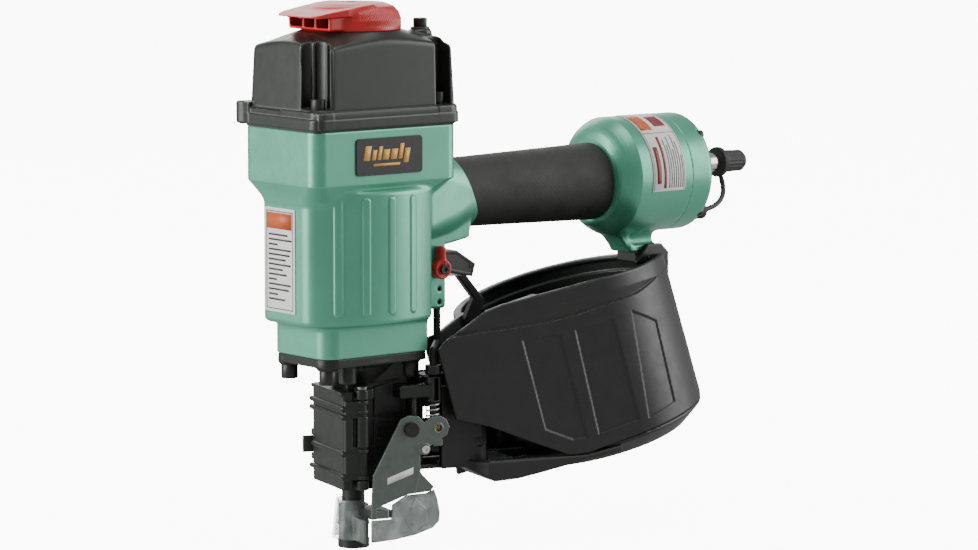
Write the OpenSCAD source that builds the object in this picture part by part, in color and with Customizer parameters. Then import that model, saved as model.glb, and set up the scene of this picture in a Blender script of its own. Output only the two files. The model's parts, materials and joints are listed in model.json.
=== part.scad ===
// Coil nailer: head and barrel over a slim nose, handle with a plenum, coil canister under the handle.
// The origin is the centre of the contact foot's lower face, +Z runs up the driver and +X runs to the air plug.

/* [Head] */
// Front face of the housing's upper block, forward of the driver axis
head_front = 54; // [50:1:56]
// Rear face of the housing's upper block
head_rear = 52; // [48:1:54]
// Half width of the housing's upper block
head_half = 36.5; // [34:0.5:38]
// Height of the housing's top face
head_top = 254; // [252:0.5:256]

/* [Barrel and drive] */
// Inside radius of the cylinder sleeve
sleeve_r = 20.3; // [18:0.1:21]
// Top of the cylinder sleeve
sleeve_top = 250; // [248:0.5:250]
// Travel of the piston
stroke = 84; // [70:1:84]
// Radius of the driver blade
driver_r = 3.75; // [3:0.05:4]
// Working clearance of a sliding round fit
run_gap = 0.08; // [0.03:0.01:0.1]
// Clearance between parts that only pass each other
air_gap = 0.3; // [0.25:0.05:0.5]

/* [Handle] */
// Height of the grip's axis
grip_z = 208.5; // [206:0.5:211]
// Radius of the grip at its front end
grip_front_r = 21.1; // [19:0.1:23]
// Radius of the grip at its rear end
grip_rear_r = 23.8; // [22:0.1:25]
// Radius of the plenum
plenum_r = 36.6; // [33:0.2:38]
// Height of the plenum's axis
plenum_z = 211; // [210:0.5:212]

/* [Canister] */
// Outer radius of the coil canister at its rim
can_r = 67; // [64:0.5:68]
// Outer radius of the coil canister at its base
can_low_r = 69.5; // [68:0.5:70]
// Wall of the canister
can_wall = 3; // [2.5:0.1:3.5]
// Lean of the canister towards the barrel
can_tilt = 15; // [14:0.5:16]
// Turn of the nose and magazine about the driver axis
nose_yaw = 14; // [14:0.5:15]

/* [Nose] */
// Travel of the contact arm
contact_travel = 8; // [6:0.5:8]
// Outer radius of the contact foot
foot_r = 9.5; // [9:0.1:10]
// Bore of the contact foot
foot_bore_r = 4.6; // [4.2:0.1:5]

/* [Hidden] */
$fn = 48;

// Magazine centre in the turned nose frame
can_x = 165;
can_y = 40;
can_z = 108;
// Bore round the head valve, and the valve's own radius
valve_bore_r = 31.2;
valve_r = valve_bore_r - run_gap;
// Piston crown at rest and its thickness
piston_top = sleeve_top - 2;
piston_h = 14;
piston_bottom = piston_top - piston_h;
bumper_top = piston_bottom - stroke;
nose_top = 118.5;
driver_tip = stroke + 2;
nose_bore_r = driver_r + run_gap;
cap_bolt_xy = [[-46, -28.5], [-39, 29], [41.5, -28.5], [41.5, 28.5]];
nose_bolt_xy = [[-33, -19], [-33, 19], [28, -19], [28, 19]];
plug_x = 42.5;
plug_y = -11;
pivot_x = 48.5;
pivot_z = 166;
lever_pin_x = 83.7;
lever_pin_z = 163.8;
plunger_x = 66;
hinge_x = -4;
hinge_y = -23;
rod_x = 43;
rod_y = -21;
rod_r = 2.2;
rod_top_x = 58.9;
rod_top_y = 9.5;
rod_top_z = 158.2 - contact_travel;
link_z = 119;
plate_y = -29.6;
plate_t = 2;
can_top = 36.5;
can_bottom = -48.7;
pan_r = can_low_r - 0.5;
cover_hinge_x = 73.2;
cover_hinge_y = 9.5;
end_cap_x0 = 236;
end_cap_x1 = 254;
tether_knob = [257, -14, 186];

green = "#78A591";
black = "#3C3E3A";
steel = "#8E9590";
red = "#CD3C37";
rubber = "#3E3E3A";

// Frames and shared shapes

module nose_frame() {
    rotate([0, 0, -nose_yaw]) children();
}

module mag_frame() {
    nose_frame() translate([can_x, can_y, can_z]) rotate([0, -can_tilt, 0]) children();
}

// Turns a profile drawn as [radius, distance] into a solid whose axis is +X
module lathe_x(z) {
    translate([0, 0, z]) rotate([0, 90, 0]) rotate_extrude($fn = 64) children();
}

module rounded_rect(x0, x1, y0, y1, r) {
    translate([x0 + r, y0]) square([x1 - x0 - 2 * r, y1 - y0]);
    translate([x0, y0 + r]) square([x1 - x0, y1 - y0 - 2 * r]);
    for (x = [x0 + r, x1 - r], y = [y0 + r, y1 - r]) translate([x, y]) circle(r, $fn = 32);
}

module slab(x0, x1, y0, y1, r, z, t = 0.2) {
    translate([0, 0, z]) linear_extrude(t) rounded_rect(x0, x1, y0, y1, r);
}

module ring(r_in, r_out, z0, z1) {
    translate([0, 0, z0]) difference() {
        cylinder(h = z1 - z0, r = r_out);
        translate([0, 0, -1]) cylinder(h = z1 - z0 + 2, r = r_in);
    }
}

// A round wall that widens downwards from the canister's rim radius
module can_ring(z0, z1, extra = 0, wall = can_wall) {
    r0 = can_wall_r(z0) + extra;
    r1 = can_wall_r(z1) + extra;
    difference() {
        translate([0, 0, z0]) cylinder(h = z1 - z0, r1 = r0, r2 = r1, $fn = 96);
        translate([0, 0, z0 - 1]) cylinder(h = z1 - z0 + 2, r1 = can_wall_r(z0 - 1) + extra - wall,
            r2 = can_wall_r(z1 + 1) + extra - wall, $fn = 96);
    }
}

function can_wall_r(z) = can_r + (can_low_r - can_r) * (can_top - z) / (can_top - can_bottom);

// A plate drawn in X and Z, from y0 to y1
module xz_plate(y0, y1) {
    translate([0, y1, 0]) rotate([90, 0, 0]) linear_extrude(y1 - y0) children();
}

function barrel_side(x, s) = s * (sqrt(75 * 75 - x * x) - 34);

module barrel_2d() {
    polygon(concat(
        [for (x = [-44 : 8 : 36]) [x, barrel_side(x, -1)]],
        [for (x = [36 : -8 : -44]) [x, barrel_side(x, 1)]],
        [[-50, 19], [-50, -19]]));
}

module flange_2d(inset = 0) {
    polygon([[-40.6 + inset, -22], [-34.6, -28 + inset], [34.4, -28 + inset], [35.4 - inset, -27],
        [35.4 - inset, 27], [34.4, 28 - inset], [-34.6, 28 - inset], [-40.6 + inset, 22]]);
}

// A coil spring of round wire as one closed tube, standing on z0
module coil_spring(r, wire, z0, z1, turns, sides = 6, per_turn = 14) {
    steps = turns * per_turn;
    ring_points = [for (i = [0 : steps], j = [0 : sides - 1])
        let (a = 360 * i / per_turn, b = 360 * j / sides, q = r + wire * cos(b))
        [q * cos(a), q * sin(a), z0 + wire + (z1 - z0 - 2 * wire) * i / steps + wire * sin(b)]];
    walls = [for (i = [0 : steps - 1], j = [0 : sides - 1])
        let (k = (j + 1) % sides)
        [i * sides + j, i * sides + k, (i + 1) * sides + k, (i + 1) * sides + j]];
    polyhedron(points = ring_points, convexity = 8,
        faces = concat([[for (j = [sides - 1 : -1 : 0]) j]], walls,
            [[for (j = [0 : sides - 1]) steps * sides + j]]));
}

// Socket cap screw with its head below z, standing up the hole
module socket_screw(head_r, head_h, shank_r, length) {
    difference() {
        cylinder(h = head_h, r = head_r, $fn = 32);
        translate([0, 0, head_h / 2]) cylinder(h = head_h, r = head_r * 0.5, $fn = 6);
    }
    translate([0, 0, -length]) cylinder(h = length, r = shank_r, $fn = 32);
}

// Housing group

module housing() {
    color(green) difference() {
        union() {
            translate([0, 0, 222]) linear_extrude(head_top - 222)
                rounded_rect(-head_front, head_rear, -head_half, head_half, 5);
            hull() {
                slab(-head_front, head_rear, -head_half, head_half, 5, 221.9);
                slab(-50, 38, -32, 32, 14, 212);
            }
            translate([0, 0, 138]) linear_extrude(76) barrel_2d();
            translate([0, 0, nose_top]) linear_extrude(20) flange_2d();
            handle_neck();
            lathe_x(grip_z) translate([0, 60]) square([16.5, 130]);
            lathe_x(plenum_z) polygon([[0, 184], [22, 184], [28, 187.5], [33, 192], [36.6, 200],
                [36.6, end_cap_x0], [0, end_cap_x0]]);
            magazine_arm();
        }
        sleeve_seat();
        // Air passage through the handle
        lathe_x(grip_z) translate([0, 20]) square([11, 190]);
        lathe_x(plenum_z) translate([0, 199]) square([31, 40]);
        trigger_space();
        for (p = cap_bolt_xy) translate([p[0], p[1], 234]) cylinder(h = 30, r = 2.5);
        for (p = nose_bolt_xy) translate([p[0], p[1], 100]) cylinder(h = 34, r = 2.5);
        for (z = [145.5, 153.5]) translate([50, 0, z]) rotate([90, 0, 0]) cylinder(h = 60, r = 1.5, center = true);
        translate([226, 0, 150]) cylinder(h = 27, r = 2.5);
        for (a = [45 : 90 : 315]) lathe_bolt(a) cylinder(h = 20, r = 1.6, center = true);
    }
}

module handle_neck() {
    hull() {
        translate([40, 0, grip_z]) cube([4, 56, 50], center = true);
        translate([80, 0, grip_z]) rotate([0, 90, 0]) cylinder(h = 3.7, r = 20.5, $fn = 32);
    }
    xz_plate(-20, 20) polygon([[20, 141.6], [55, 141.6], [55, 180.6], [57.9, 180.6], [73.2, 182.6],
        [75, 192], [70, 215], [20, 215]]);
}

module magazine_arm() {
    xz_plate(-9, 9) polygon([[188, 192], [194, 182], [209, 163.3], [231, 163.3], [229, 182], [228, 192]]);
}

// Places a child at one of the end cap's bolts, its axis along +X
module lathe_bolt(a) {
    translate([end_cap_x0, 33.8 * cos(a), plenum_z + 33.8 * sin(a)]) rotate([0, 90, 0]) children();
}

module sleeve_seat() {
    translate([0, 0, 100]) cylinder(h = 30, r = 10);
    translate([0, 0, 124]) cylinder(h = 20, r = 23);
    translate([0, 0, 142]) cylinder(h = 120, r = 33);
}

// Slot in the rear web for the trigger, its lever and the valve
module trigger_space() {
    translate([41, -9, 140]) cube([34, 18, 40.6]);
    translate([plunger_x, 0, 170]) cylinder(h = 28, r = 6);
    translate([pivot_x, 0, pivot_z]) rotate([90, 0, 0]) cylinder(h = 60, r = 3, center = true);
}

module emblem_plate() {
    color("black") xz_plate(-head_half - 0.9, -head_half)
        rounded_rect(-24.7, 23.8, 227, 249, 2.5);
}

module front_label() {
    color("white") translate([-50.6, -11, 145]) cube([0.6, 30, 62]);
}

// Wrapped round the plenum's upper camera side
module rear_label() {
    color("white") intersection() {
        lathe_x(plenum_z) translate([plenum_r, 204]) square([0.5, 26]);
        translate([200, -60, plenum_z - 8]) cube([40, 60, 60]);
    }
}

// Cap group

module cap_gasket() {
    color("#202220") difference() {
        slab(-53.5, 51.5, -36, 36, 5, head_top, 1);
        translate([0, 0, head_top - 1]) cylinder(h = 3, r = 33);
        for (p = cap_bolt_xy) translate([p[0], p[1], head_top - 1]) cylinder(h = 3, r = 2.5);
    }
}

module cylinder_cap() {
    bottom = head_top + 1;
    color(black) difference() {
        union() {
            translate([0, 0, bottom]) linear_extrude(9.7) rounded_rect(-54, 54.2, -37.5, 37.5, 4);
            hull() {
                slab(-52, 52.8, -36, 36, 3, bottom + 9.6);
                slab(-49, 50.5, -35, 35, 4, 300);
            }
            hull() {
                slab(-49, 50.5, -35, 35, 4, 299.5);
                translate([0, 0, 310.8]) cylinder(h = 0.2, r = 31, $fn = 32);
            }
            translate([0, 0, 290]) linear_extrude(15.5) rounded_rect(24, 49, -27, 27, 3);
            translate([plug_x, plug_y, 300]) cylinder(h = 10.5, r = 6.5);
            translate([-49, 40, bottom + 1]) cylinder(h = 12, r = 6);
            translate([-54, 30, bottom + 1]) cube([6, 10, 12]);
        }
        translate([0, 0, bottom - 1]) cylinder(h = 34, r = valve_bore_r);
        translate([plug_x, plug_y, 298]) cylinder(h = 20, r = 3);
        for (a = [0 : 60 : 300]) rotate(a) translate([15, 0, 280]) cylinder(h = 40, r = 4.5);
        translate([0, 0, 280]) cylinder(h = 40, r = 2.5);
        for (p = cap_bolt_xy) {
            translate([p[0], p[1], bottom - 1]) cylinder(h = 30, r = 2.5);
            scallop(p, p == cap_bolt_xy[0] ? 12 : (p[0] > 0 ? 6.8 : 8.5));
        }
    }
}

// Notch beside a cap bolt: the one at the front corner is open both ways, the others only sideways
module scallop(p, r) {
    side = sign(p[1]);
    both_ways = p == cap_bolt_xy[0];
    x = p[0] - (both_ways ? 2 : 1) * sign(p[0]) * (both_ways ? -1 : 1);
    y = both_ways ? p[1] + 2 : p[1];
    left = both_ways ? r * 0.8 : (p[0] < 0 ? 4 : 7);
    width = both_ways ? r * 1.6 : 11;
    translate([x, y, 266]) cylinder(h = 50, r = r);
    translate([x - left, side > 0 ? y : y - 20, 266]) cube([width, 20, 50]);
    if (both_ways) translate([x - 20, y - 20, 266]) cube([20, 20 + r * 0.6, 50]);
}

module cap_bolts() {
    color("#2A2C2A") for (p = cap_bolt_xy) translate([p[0], p[1], 266]) socket_screw(4.2, 7, 2.5, 30);
}

module cap_plug() {
    color("#2A2C2A") translate([plug_x, plug_y, 310.5]) socket_screw(4.2, 5.5, 3, 10);
}

module exhaust_deflector() {
    z0 = 311.3;
    color(red) difference() {
        union() {
            translate([0, 0, z0]) cylinder(h = 12, r = 29.5, $fn = 96);
            translate([0, 0, z0 + 12]) cylinder(h = 3.4, r1 = 29.5, r2 = 23, $fn = 96);
            translate([-32, -21, z0]) cube([32, 42, 5]);
            hull() {
                translate([-35, -23.7, z0 + 9]) cube([30, 47.4, 3]);
                translate([-42.5, -20, z0 + 7.5]) cube([2, 40, 1.5]);
            }
        }
        translate([0, 0, z0 - 1]) cylinder(h = 10, r = 25);
        translate([-50, -19, z0 + 2]) cube([50, 11.5, 6]);
        translate([-50, -5.5, z0 + 2]) cube([50, 11, 6]);
        translate([-50, 7.5, z0 + 2]) cube([50, 11.5, 6]);
        translate([0, 0, z0]) cylinder(h = 30, r = 2.6);
        translate([0, 0, z0 + 12]) cylinder(h = 30, r = 6.5);
    }
}

module deflector_screw() {
    color("#2A2C2A") translate([0, 0, 323.6]) socket_screw(6.2, 3, 2.5, 33);
}

module head_valve() {
    color("#B8BBB4") difference() {
        translate([0, 0, sleeve_top + air_gap]) cylinder(h = 17, r = valve_r, $fn = 96);
        translate([0, 0, sleeve_top]) cylinder(h = 40, r = 8);
        translate([0, 0, sleeve_top + 8]) ring(12, 26, 0, 20);
    }
}

module head_valve_spring() {
    color("silver") coil_spring(19, 1.4, sleeve_top + 8.6, 287.7, 4);
}

module cylinder_sleeve() {
    color("#A9ADA6") difference() {
        union() {
            ring(sleeve_r, 23, 124, sleeve_top);
            ring(sleeve_r, 32.9, 196, 206);
        }
        ring(31, 40, 199.5, 202.5);
        for (a = [0 : 30 : 330]) rotate(a) translate([0, 0, 160]) rotate([0, 90, 0])
            cylinder(h = 40, r = 1.6, $fn = 16);
    }
}

module sleeve_seals() {
    color("#202220") ring(31, 33, 199.5, 202.5);
}

module bumper() {
    color("#202220") difference() {
        ring(4.6, sleeve_r - 0.1, 124, bumper_top - air_gap);
        ring(16, 30, 134, 140);
    }
}

module piston() {
    color("#A9ADA6") difference() {
        translate([0, 0, piston_bottom]) cylinder(h = piston_h, r = sleeve_r - run_gap, $fn = 96);
        ring(18, 30, piston_bottom + 5, piston_bottom + 9);
        translate([0, 0, piston_bottom - 1]) cylinder(h = 9, r = driver_r);
    }
}

module piston_ring() {
    color("#202220") ring(18, sleeve_r - 0.03, piston_bottom + 5, piston_bottom + 9);
}

module driver_blade() {
    color(steel) translate([0, 0, driver_tip]) cylinder(h = piston_bottom + 8 - driver_tip, r = driver_r);
}

// Trigger group

module valve_body() {
    color("#B5A15A") difference() {
        translate([plunger_x, 0, 181]) cylinder(h = 17, r = 6);
        translate([plunger_x, 0, 178]) cylinder(h = 13, r = 2.3);
        translate([plunger_x, 0, 186]) cylinder(h = 10, r = 4.2);
    }
}

module valve_plunger() {
    color("silver") {
        translate([plunger_x, 0, 175.4]) cylinder(h = 14, r = 2.3 - run_gap);
        translate([plunger_x, 0, 187]) cylinder(h = 2, r = 3.9);
    }
}

module valve_spring() {
    color("silver") translate([plunger_x, 0, 0]) coil_spring(3.2, 0.5, 189.3, 195.8, 4);
}

module roll_pins() {
    color(steel) for (z = [145.5, 153.5]) translate([50, 0, z]) rotate([90, 0, 0]) difference() {
        cylinder(h = 39, r = 1.5, center = true);
        cylinder(h = 41, r = 0.8, center = true);
    }
}

module trigger() {
    color(black) difference() {
        xz_plate(-8, 8) polygon([[43.5, 163], [46, 160.5], [64.9, 161.5], [84.8, 157], [87.2, 165], [73, 174.2],
            [64, 174.6], [48, 171], [43.5, 169]]);
        xz_plate(-5, 5) polygon([[40, 150], [95, 150], [95, 166.5], [60, 169], [57, 165], [40, 160.5]]);
        translate([pivot_x, 0, pivot_z]) rotate([90, 0, 0]) cylinder(h = 40, r = 3.05, center = true);
        translate([lever_pin_x, 0, lever_pin_z]) rotate([90, 0, 0]) cylinder(h = 40, r = 1.6, center = true);
    }
}

module trigger_lever() {
    color("#C8CAC4") difference() {
        xz_plate(-4.4, 4.4) polygon([[57.5, 158.6], [80, 157.8], [86, 161], [86, 165.6], [81.5, 165.6],
            [80, 160.2], [57.5, 160.9]]);
        translate([lever_pin_x, 0, lever_pin_z]) rotate([90, 0, 0]) cylinder(h = 40, r = 1.66, center = true);
    }
}

module lever_pin() {
    color(steel) translate([lever_pin_x, 0, lever_pin_z])
        rotate([90, 0, 0]) cylinder(h = 16, r = 1.6, center = true);
}

// Red mode lever on the trigger's pivot shaft
module selector_lever() {
    color(red) difference() {
        union() {
            translate([pivot_x, -20.3, pivot_z]) rotate([90, 0, 0]) cylinder(h = 6, r = 6);
            translate([pivot_x - 2.6, -25.5, pivot_z]) cube([5.2, 4.6, 14]);
            translate([pivot_x, 21, pivot_z]) rotate([90, 0, 0]) cylinder(h = 42, r = 2.95);
        }
        translate([pivot_x, 0, pivot_z]) rotate([90, 0, 0]) cylinder(h = 60, r = 1.5);
    }
}

module selector_screw() {
    color(steel) translate([pivot_x, -26.3, pivot_z]) rotate([90, 0, 0]) socket_screw(3, 1.6, 1.5, 20);
}

// Handle group

module grip() {
    color(rubber) lathe_x(grip_z) polygon([[16.5, 84], [grip_front_r - 1, 84], [grip_front_r, 86],
        [grip_rear_r, 180], [grip_rear_r, 182.5], [grip_rear_r - 1, 183.7], [16.5, 183.7]]);
}

module end_cap() {
    color(green) difference() {
        lathe_x(plenum_z) polygon([[0, end_cap_x0 + 0.6], [plenum_r, end_cap_x0 + 0.6],
            [plenum_r, end_cap_x1 - 4], [plenum_r - 3, end_cap_x1], [0, end_cap_x1]]);
        lathe_x(plenum_z) translate([0, end_cap_x0]) square([29, 8]);
        lathe_x(214) translate([0, end_cap_x0]) square([6.5, 30]);
        for (a = [45 : 90 : 315]) lathe_bolt(a) cylinder(h = 60, r = 1.6);
        for (a = [45 : 90 : 315]) lathe_bolt(a) translate([0, 0, 14]) cylinder(h = 60, r = 3.2);
        translate(tether_knob) rotate([0, -90, 0]) cylinder(h = 12, r = 2.5);
    }
}

module end_cap_seal() {
    color("#202220") lathe_x(plenum_z) translate([31.2, end_cap_x0]) square([1, 0.6]);
}

module end_cap_bolts() {
    color("#2A2C2A") for (a = [45 : 90 : 315]) lathe_bolt(a) translate([0, 0, 14]) socket_screw(3, 3.6, 1.6, 22);
}

module air_plug() {
    color("silver") difference() {
        union() {
            lathe_x(214) polygon([[0, 240], [6.5, 240], [6.5, end_cap_x1], [8.6, end_cap_x1], [8.6, 268],
                [7.6, 269.5], [6, 270], [4.6, 272], [4.6, 276], [6, 278], [6, 284], [3.95, 286], [3.95, 296],
                [3, 298], [0, 298]]);
        }
        lathe_x(214) translate([0, 239]) square([2.4, 60]);
    }
}

module dust_cap() {
    color("#202220") lathe_x(214) polygon([[4.05, 287.5], [9.5, 287.5], [9.5, 290], [7, 291.5], [6.6, 306.5],
        [5.4, 308.5], [0, 308.5], [0, 299.5], [4.05, 299.5]]);
}

// Strap from the dust cap down to a knob on the end cap, swept along an arc
module dust_cap_tether() {
    color("#202220") {
        translate(tether_knob) rotate([0, -90, 0]) {
            translate([0, 0, -7]) cylinder(h = 10, r = 5.2);
            cylinder(h = 12, r = 2.5);
        }
        tether_strap();
    }
}

module tether_strap() {
    steps = 10;
    sides = 8;
    start = [262, -14, 186];
    bend = [289, -12, 187];
    finish = [289, -3, 204];
    path = [for (i = [0 : steps]) let (t = i / steps)
        (1 - t) * (1 - t) * start + 2 * t * (1 - t) * bend + t * t * finish];
    points = [for (i = [0 : steps], j = [0 : sides - 1])
        let (t = i / steps, d = 2 * (1 - t) * (bend - start) + 2 * t * (finish - bend),
            n = [d[2], 0, -d[0]] / norm([d[2], 0, -d[0]]), a = 360 * j / sides)
        path[i] + 1.6 * cos(a) * n + 1.6 * sin(a) * [0, 1, 0]];
    walls = [for (i = [0 : steps - 1], j = [0 : sides - 1]) let (k = (j + 1) % sides)
        [i * sides + j, (i + 1) * sides + j, (i + 1) * sides + k, i * sides + k]];
    polyhedron(points = points, convexity = 4, faces = concat([[for (j = [0 : sides - 1]) j]], walls,
        [[for (j = [sides - 1 : -1 : 0]) steps * sides + j]]));
}

// Nose group

module nose() {
    color("#4A4E4B") difference() {
        union() {
            translate([0, 0, 113]) linear_extrude(nose_top - 113) flange_2d(1);
            for (p = nose_bolt_xy) translate([p[0], p[1], 111.5]) cylinder(h = 4, r = 5.6);
            translate([0, 0, 99]) cylinder(h = 14.2, r1 = 12, r2 = 25);
            nose_frame() nose_block();
        }
        for (p = nose_bolt_xy) translate([p[0], p[1], 100]) cylinder(h = 34, r = 2.5);
        translate([0, 0, 10]) cylinder(h = 112, r = nose_bore_r);
        nose_frame() {
            translate([0, -4, 16]) cube([40, 8, 80]);
            translate([rod_x, rod_y, 70]) cylinder(h = 50, r = rod_r + 0.1);
            translate([hinge_x, hinge_y, 30]) cylinder(h = 80, r = 1.6);
            translate([30, 8, 73]) cube([28, 10, 15]);
        }
    }
}

module nose_block() {
    translate([-9, -12, 38]) cube([31, 24, 68]);
    translate([0, 0, 13]) cylinder(h = 30, r = foot_r - 2.5);
    translate([10, -12, 49.3]) cube([30, 2.5, 53.2]);
    translate([10, 9.5, 49.3]) cube([52, 2.5, 53.2]);
    translate([20, -25, 91]) cube([24, 14, 8]);
    translate([rod_x, rod_y, 88]) cylinder(h = 18, r = 4.4);
    for (z = [38, 92.3]) translate([hinge_x, hinge_y, z]) cylinder(h = 5.7, r = 4);
    for (z = [38, 92.3]) translate([hinge_x, -22, z]) cube([8, 12, 5.7]);
}

module nose_bolts() {
    color("#2A2C2A") for (p = nose_bolt_xy) translate([p[0], p[1], 111.5]) mirror([0, 0, 1])
        socket_screw(5, 8.5, 2.5, 20);
}

module nail_door() {
    color(black) nose_frame() difference() {
        union() {
            translate([-16.5, -23, 38]) cube([7.2, 47, 58]);
            for (z = [46.9, 60.4, 82.4, 87.4]) translate([-18, -24, z - 1.2]) cube([8, 48, 2.4]);
            translate([-14, -25, 44.3]) cube([10, 3.6, 47.4]);
            translate([hinge_x, hinge_y, 44.3]) cylinder(h = 47.4, r = 4);
            translate([-18, -24, 94]) cube([8.7, 48, 2]);
            translate([-15.5, 23.5, 50]) cube([6, 5.5, 4]);
            translate([-15.5, 23.5, 64.6]) cube([6, 5.5, 4]);
        }
        translate([hinge_x, hinge_y, 30]) cylinder(h = 80, r = 1.66);
        translate([-12.5, 27, 45]) cylinder(h = 40, r = 1);
    }
}

module door_hinge_pin() {
    color(steel) nose_frame() {
        translate([hinge_x, hinge_y, 38]) cylinder(h = 60, r = 1.6);
        translate([hinge_x, hinge_y, 98]) cylinder(h = 2, r = 3);
    }
}

module door_latch() {
    color(steel) nose_frame() difference() {
        union() {
            translate([-12.5, 27, 54.3]) cylinder(h = 10, r = 2);
            translate([-13.5, 27.4, 54.3]) cube([16, 1.8, 10]);
            translate([-21, 27.4, 54.3]) cube([8, 1.8, 10]);
        }
        translate([-12.5, 27, 45]) cylinder(h = 40, r = 1.06);
    }
}

module latch_pin() {
    color(steel) nose_frame() translate([-12.5, 27, 50]) cylinder(h = 18.6, r = 1);
}

// Contact arm group

module contact_foot() {
    color(black) difference() {
        union() {
            cylinder(h = 26, r = foot_r);
            nose_frame() translate([-1, plate_y + plate_t, 20.5]) cube([14, 22, 5.1]);
        }
        translate([0, 0, 4.5]) cylinder(h = 30, r = foot_r - 2.5 + run_gap);
        translate([0, 0, -1]) cylinder(h = 10, r = foot_bore_r);
    }
}

module contact_plate() {
    color(steel) nose_frame() difference() {
        union() {
            xz_plate(plate_y, plate_y + plate_t) polygon([[-0.9, 20.5], [2.5, 20.5], [2.5, 27.3], [22.6, 34.4],
                [37.7, 35.3], [40.3, 37.5], [31, 46.5], [30.6, 57.5], [35.1, 61.2], [48.4, 68.6], [50, 73.4],
                [47.6, 78.4], [43.5, 80.5], [38.3, 79.8], [33.4, 77], [29.8, 80.8], [23.5, 81.6], [18.6, 79.6],
                [0.6, 46.6]]);
            translate([1, plate_y + plate_t - 0.5, 20.5]) cube([10, 0.5, 5.1]);
            translate([rod_x - 3, plate_y + plate_t - 0.5, 62]) cube([6, 10, 4]);
        }
        translate([rod_x, rod_y, 60]) cylinder(h = 10, r = rod_r);
        translate([24.9, 0, 73.2]) rotate([90, 0, 0]) cylinder(h = 60, r = 2.5);
        translate([42.6, 0, 73]) rotate([90, 0, 0]) cylinder(h = 60, r = 2.1);
        translate([33.8, 0, 60.9]) rotate([90, 0, 0]) cylinder(h = 60, r = 1.5);
    }
}

module contact_rod() {
    color(steel) nose_frame() {
        translate([rod_x, rod_y, 62]) cylinder(h = link_z - 62, r = rod_r);
        translate([rod_x, rod_y, 66]) cylinder(h = 2.6, r = 4);
        hull() {
            translate([rod_x, rod_y, link_z]) sphere(rod_r, $fn = 24);
            translate([rod_top_x, rod_top_y, link_z]) sphere(rod_r, $fn = 24);
        }
        translate([rod_top_x, rod_top_y, link_z]) cylinder(h = rod_top_z - link_z, r = rod_r);
    }
}

module contact_spring() {
    color("silver") nose_frame() translate([rod_x, rod_y, 0]) coil_spring(3.6, 0.6, 74.3, 87.7, 4, 6, 12);
}

module depth_wheel() {
    color("#5A4A3A") nose_frame() difference() {
        union() {
            translate([rod_x, rod_y, 69]) cylinder(h = 5, r = 5.2);
            for (a = [0 : 30 : 330]) translate([rod_x, rod_y, 69]) rotate(a) translate([5, 0, 0])
                cylinder(h = 5, r = 0.6, $fn = 16);
        }
        translate([rod_x, rod_y, 65]) cylinder(h = 12, r = rod_r + 0.06);
    }
}

module adjuster_button() {
    color("black") nose_frame() translate([24.9, plate_y - 2.4, 73.2]) rotate([-90, 0, 0]) {
        cylinder(h = 2.4, r = 4.4);
        cylinder(h = 5.4, r = 2.5);
    }
}

module arm_screw() {
    color("silver") nose_frame() translate([33.8, plate_y, 60.9]) rotate([90, 0, 0])
        socket_screw(2.4, 1.6, 1.5, 4);
}

// Clear fan-shaped guard beside the foot
module side_shield() {
    color([0.85, 0.9, 0.9, 0.5]) nose_frame() xz_plate(plate_y + plate_t + 0.05, plate_y + plate_t + 1.55)
        polygon([[14, 27], [36, 33], [40, 35.5], [44, 17], [43.5, 14], [36, 10.4], [29, 8.4], [22, 7.4], [10, 6.2],
            [0, 6], [0, 19.8], [14, 19.8]]);
}

// Clear curved guard in front of the foot
module front_shield() {
    color([0.85, 0.9, 0.9, 0.5]) nose_frame() difference() {
        union() {
            ring(foot_r + 0.6, foot_r + 2, 6, 29.5);
            translate([-5, -27.5, 6]) cube([1.5, 19, 14]);
        }
        translate([0, -50, 0]) cube([50, 100, 60]);
        translate([-3.5, -26, 0]) cube([10, 30, 60]);
        ring(0, foot_r + 0.6, 0, 60);
    }
}

// Feeder group

module feed_cylinder() {
    color("#4A4E4B") nose_frame() {
        translate([0, 27, 80]) rotate([0, 90, 0]) difference() {
            cylinder(h = 34, r = 10);
            translate([0, 0, 3]) cylinder(h = 28, r = 8);
            translate([0, 0, 10]) cylinder(h = 30, r = 2.6);
        }
        translate([4, 12, 76]) cube([20, 5.8, 8]);
    }
}

module feed_piston() {
    color("silver") nose_frame() translate([0, 27, 80]) rotate([0, 90, 0]) {
        translate([0, 0, 3.5]) cylinder(h = 6, r = 8 - run_gap);
        translate([0, 0, 9]) cylinder(h = 35, r = 2.6 - run_gap);
        translate([-4, -3, 38]) cube([8, 6, 6]);
    }
}

module feed_spring() {
    color("silver") nose_frame() translate([0, 27, 80]) rotate([0, 90, 0])
        coil_spring(5, 0.7, 9.8, 30.7, 6, 6, 12);
}

// Arm from the feed rod through the track's window into the nail path
module feed_pawl() {
    color(steel) nose_frame() translate([0, 0, 77]) linear_extrude(6)
        polygon([[38, 23], [44, 23], [43, 12], [40, 5.5], [37.5, 5.5], [38.5, 12]]);
}

// Magazine group

module canister() {
    color(black) difference() {
        union() {
            mag_frame() difference() {
                union() {
                    rotate_extrude($fn = 96) polygon([[0, -60], [58, -60], [pan_r, -51], [pan_r, -49],
                        [pan_r - can_wall, -49], [pan_r - can_wall, -50.2], [56.5, -57], [0, -57]]);
                    far_wall();
                    front_wall();
                    translate([0, 0, -58]) cylinder(h = 76, r = 5);
                    for (z = [-34, 0.2]) translate([cover_hinge_x, cover_hinge_y, z]) cylinder(h = 14, r = 4);
                    for (z = [-34, 0.2]) translate([0, 0, z]) linear_extrude(14)
                        polygon([[63, 12], [66, 9], [72, 9], [73.2, 13.2], [64, 22]]);
                }
                translate([cover_hinge_x, cover_hinge_y, -70]) cylinder(h = 100, r = 2);
            }
            hinge_bracket();
            nose_frame() track_floor();
            magazine_stay();
        }
        bracket_hole();
    }
}

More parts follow.
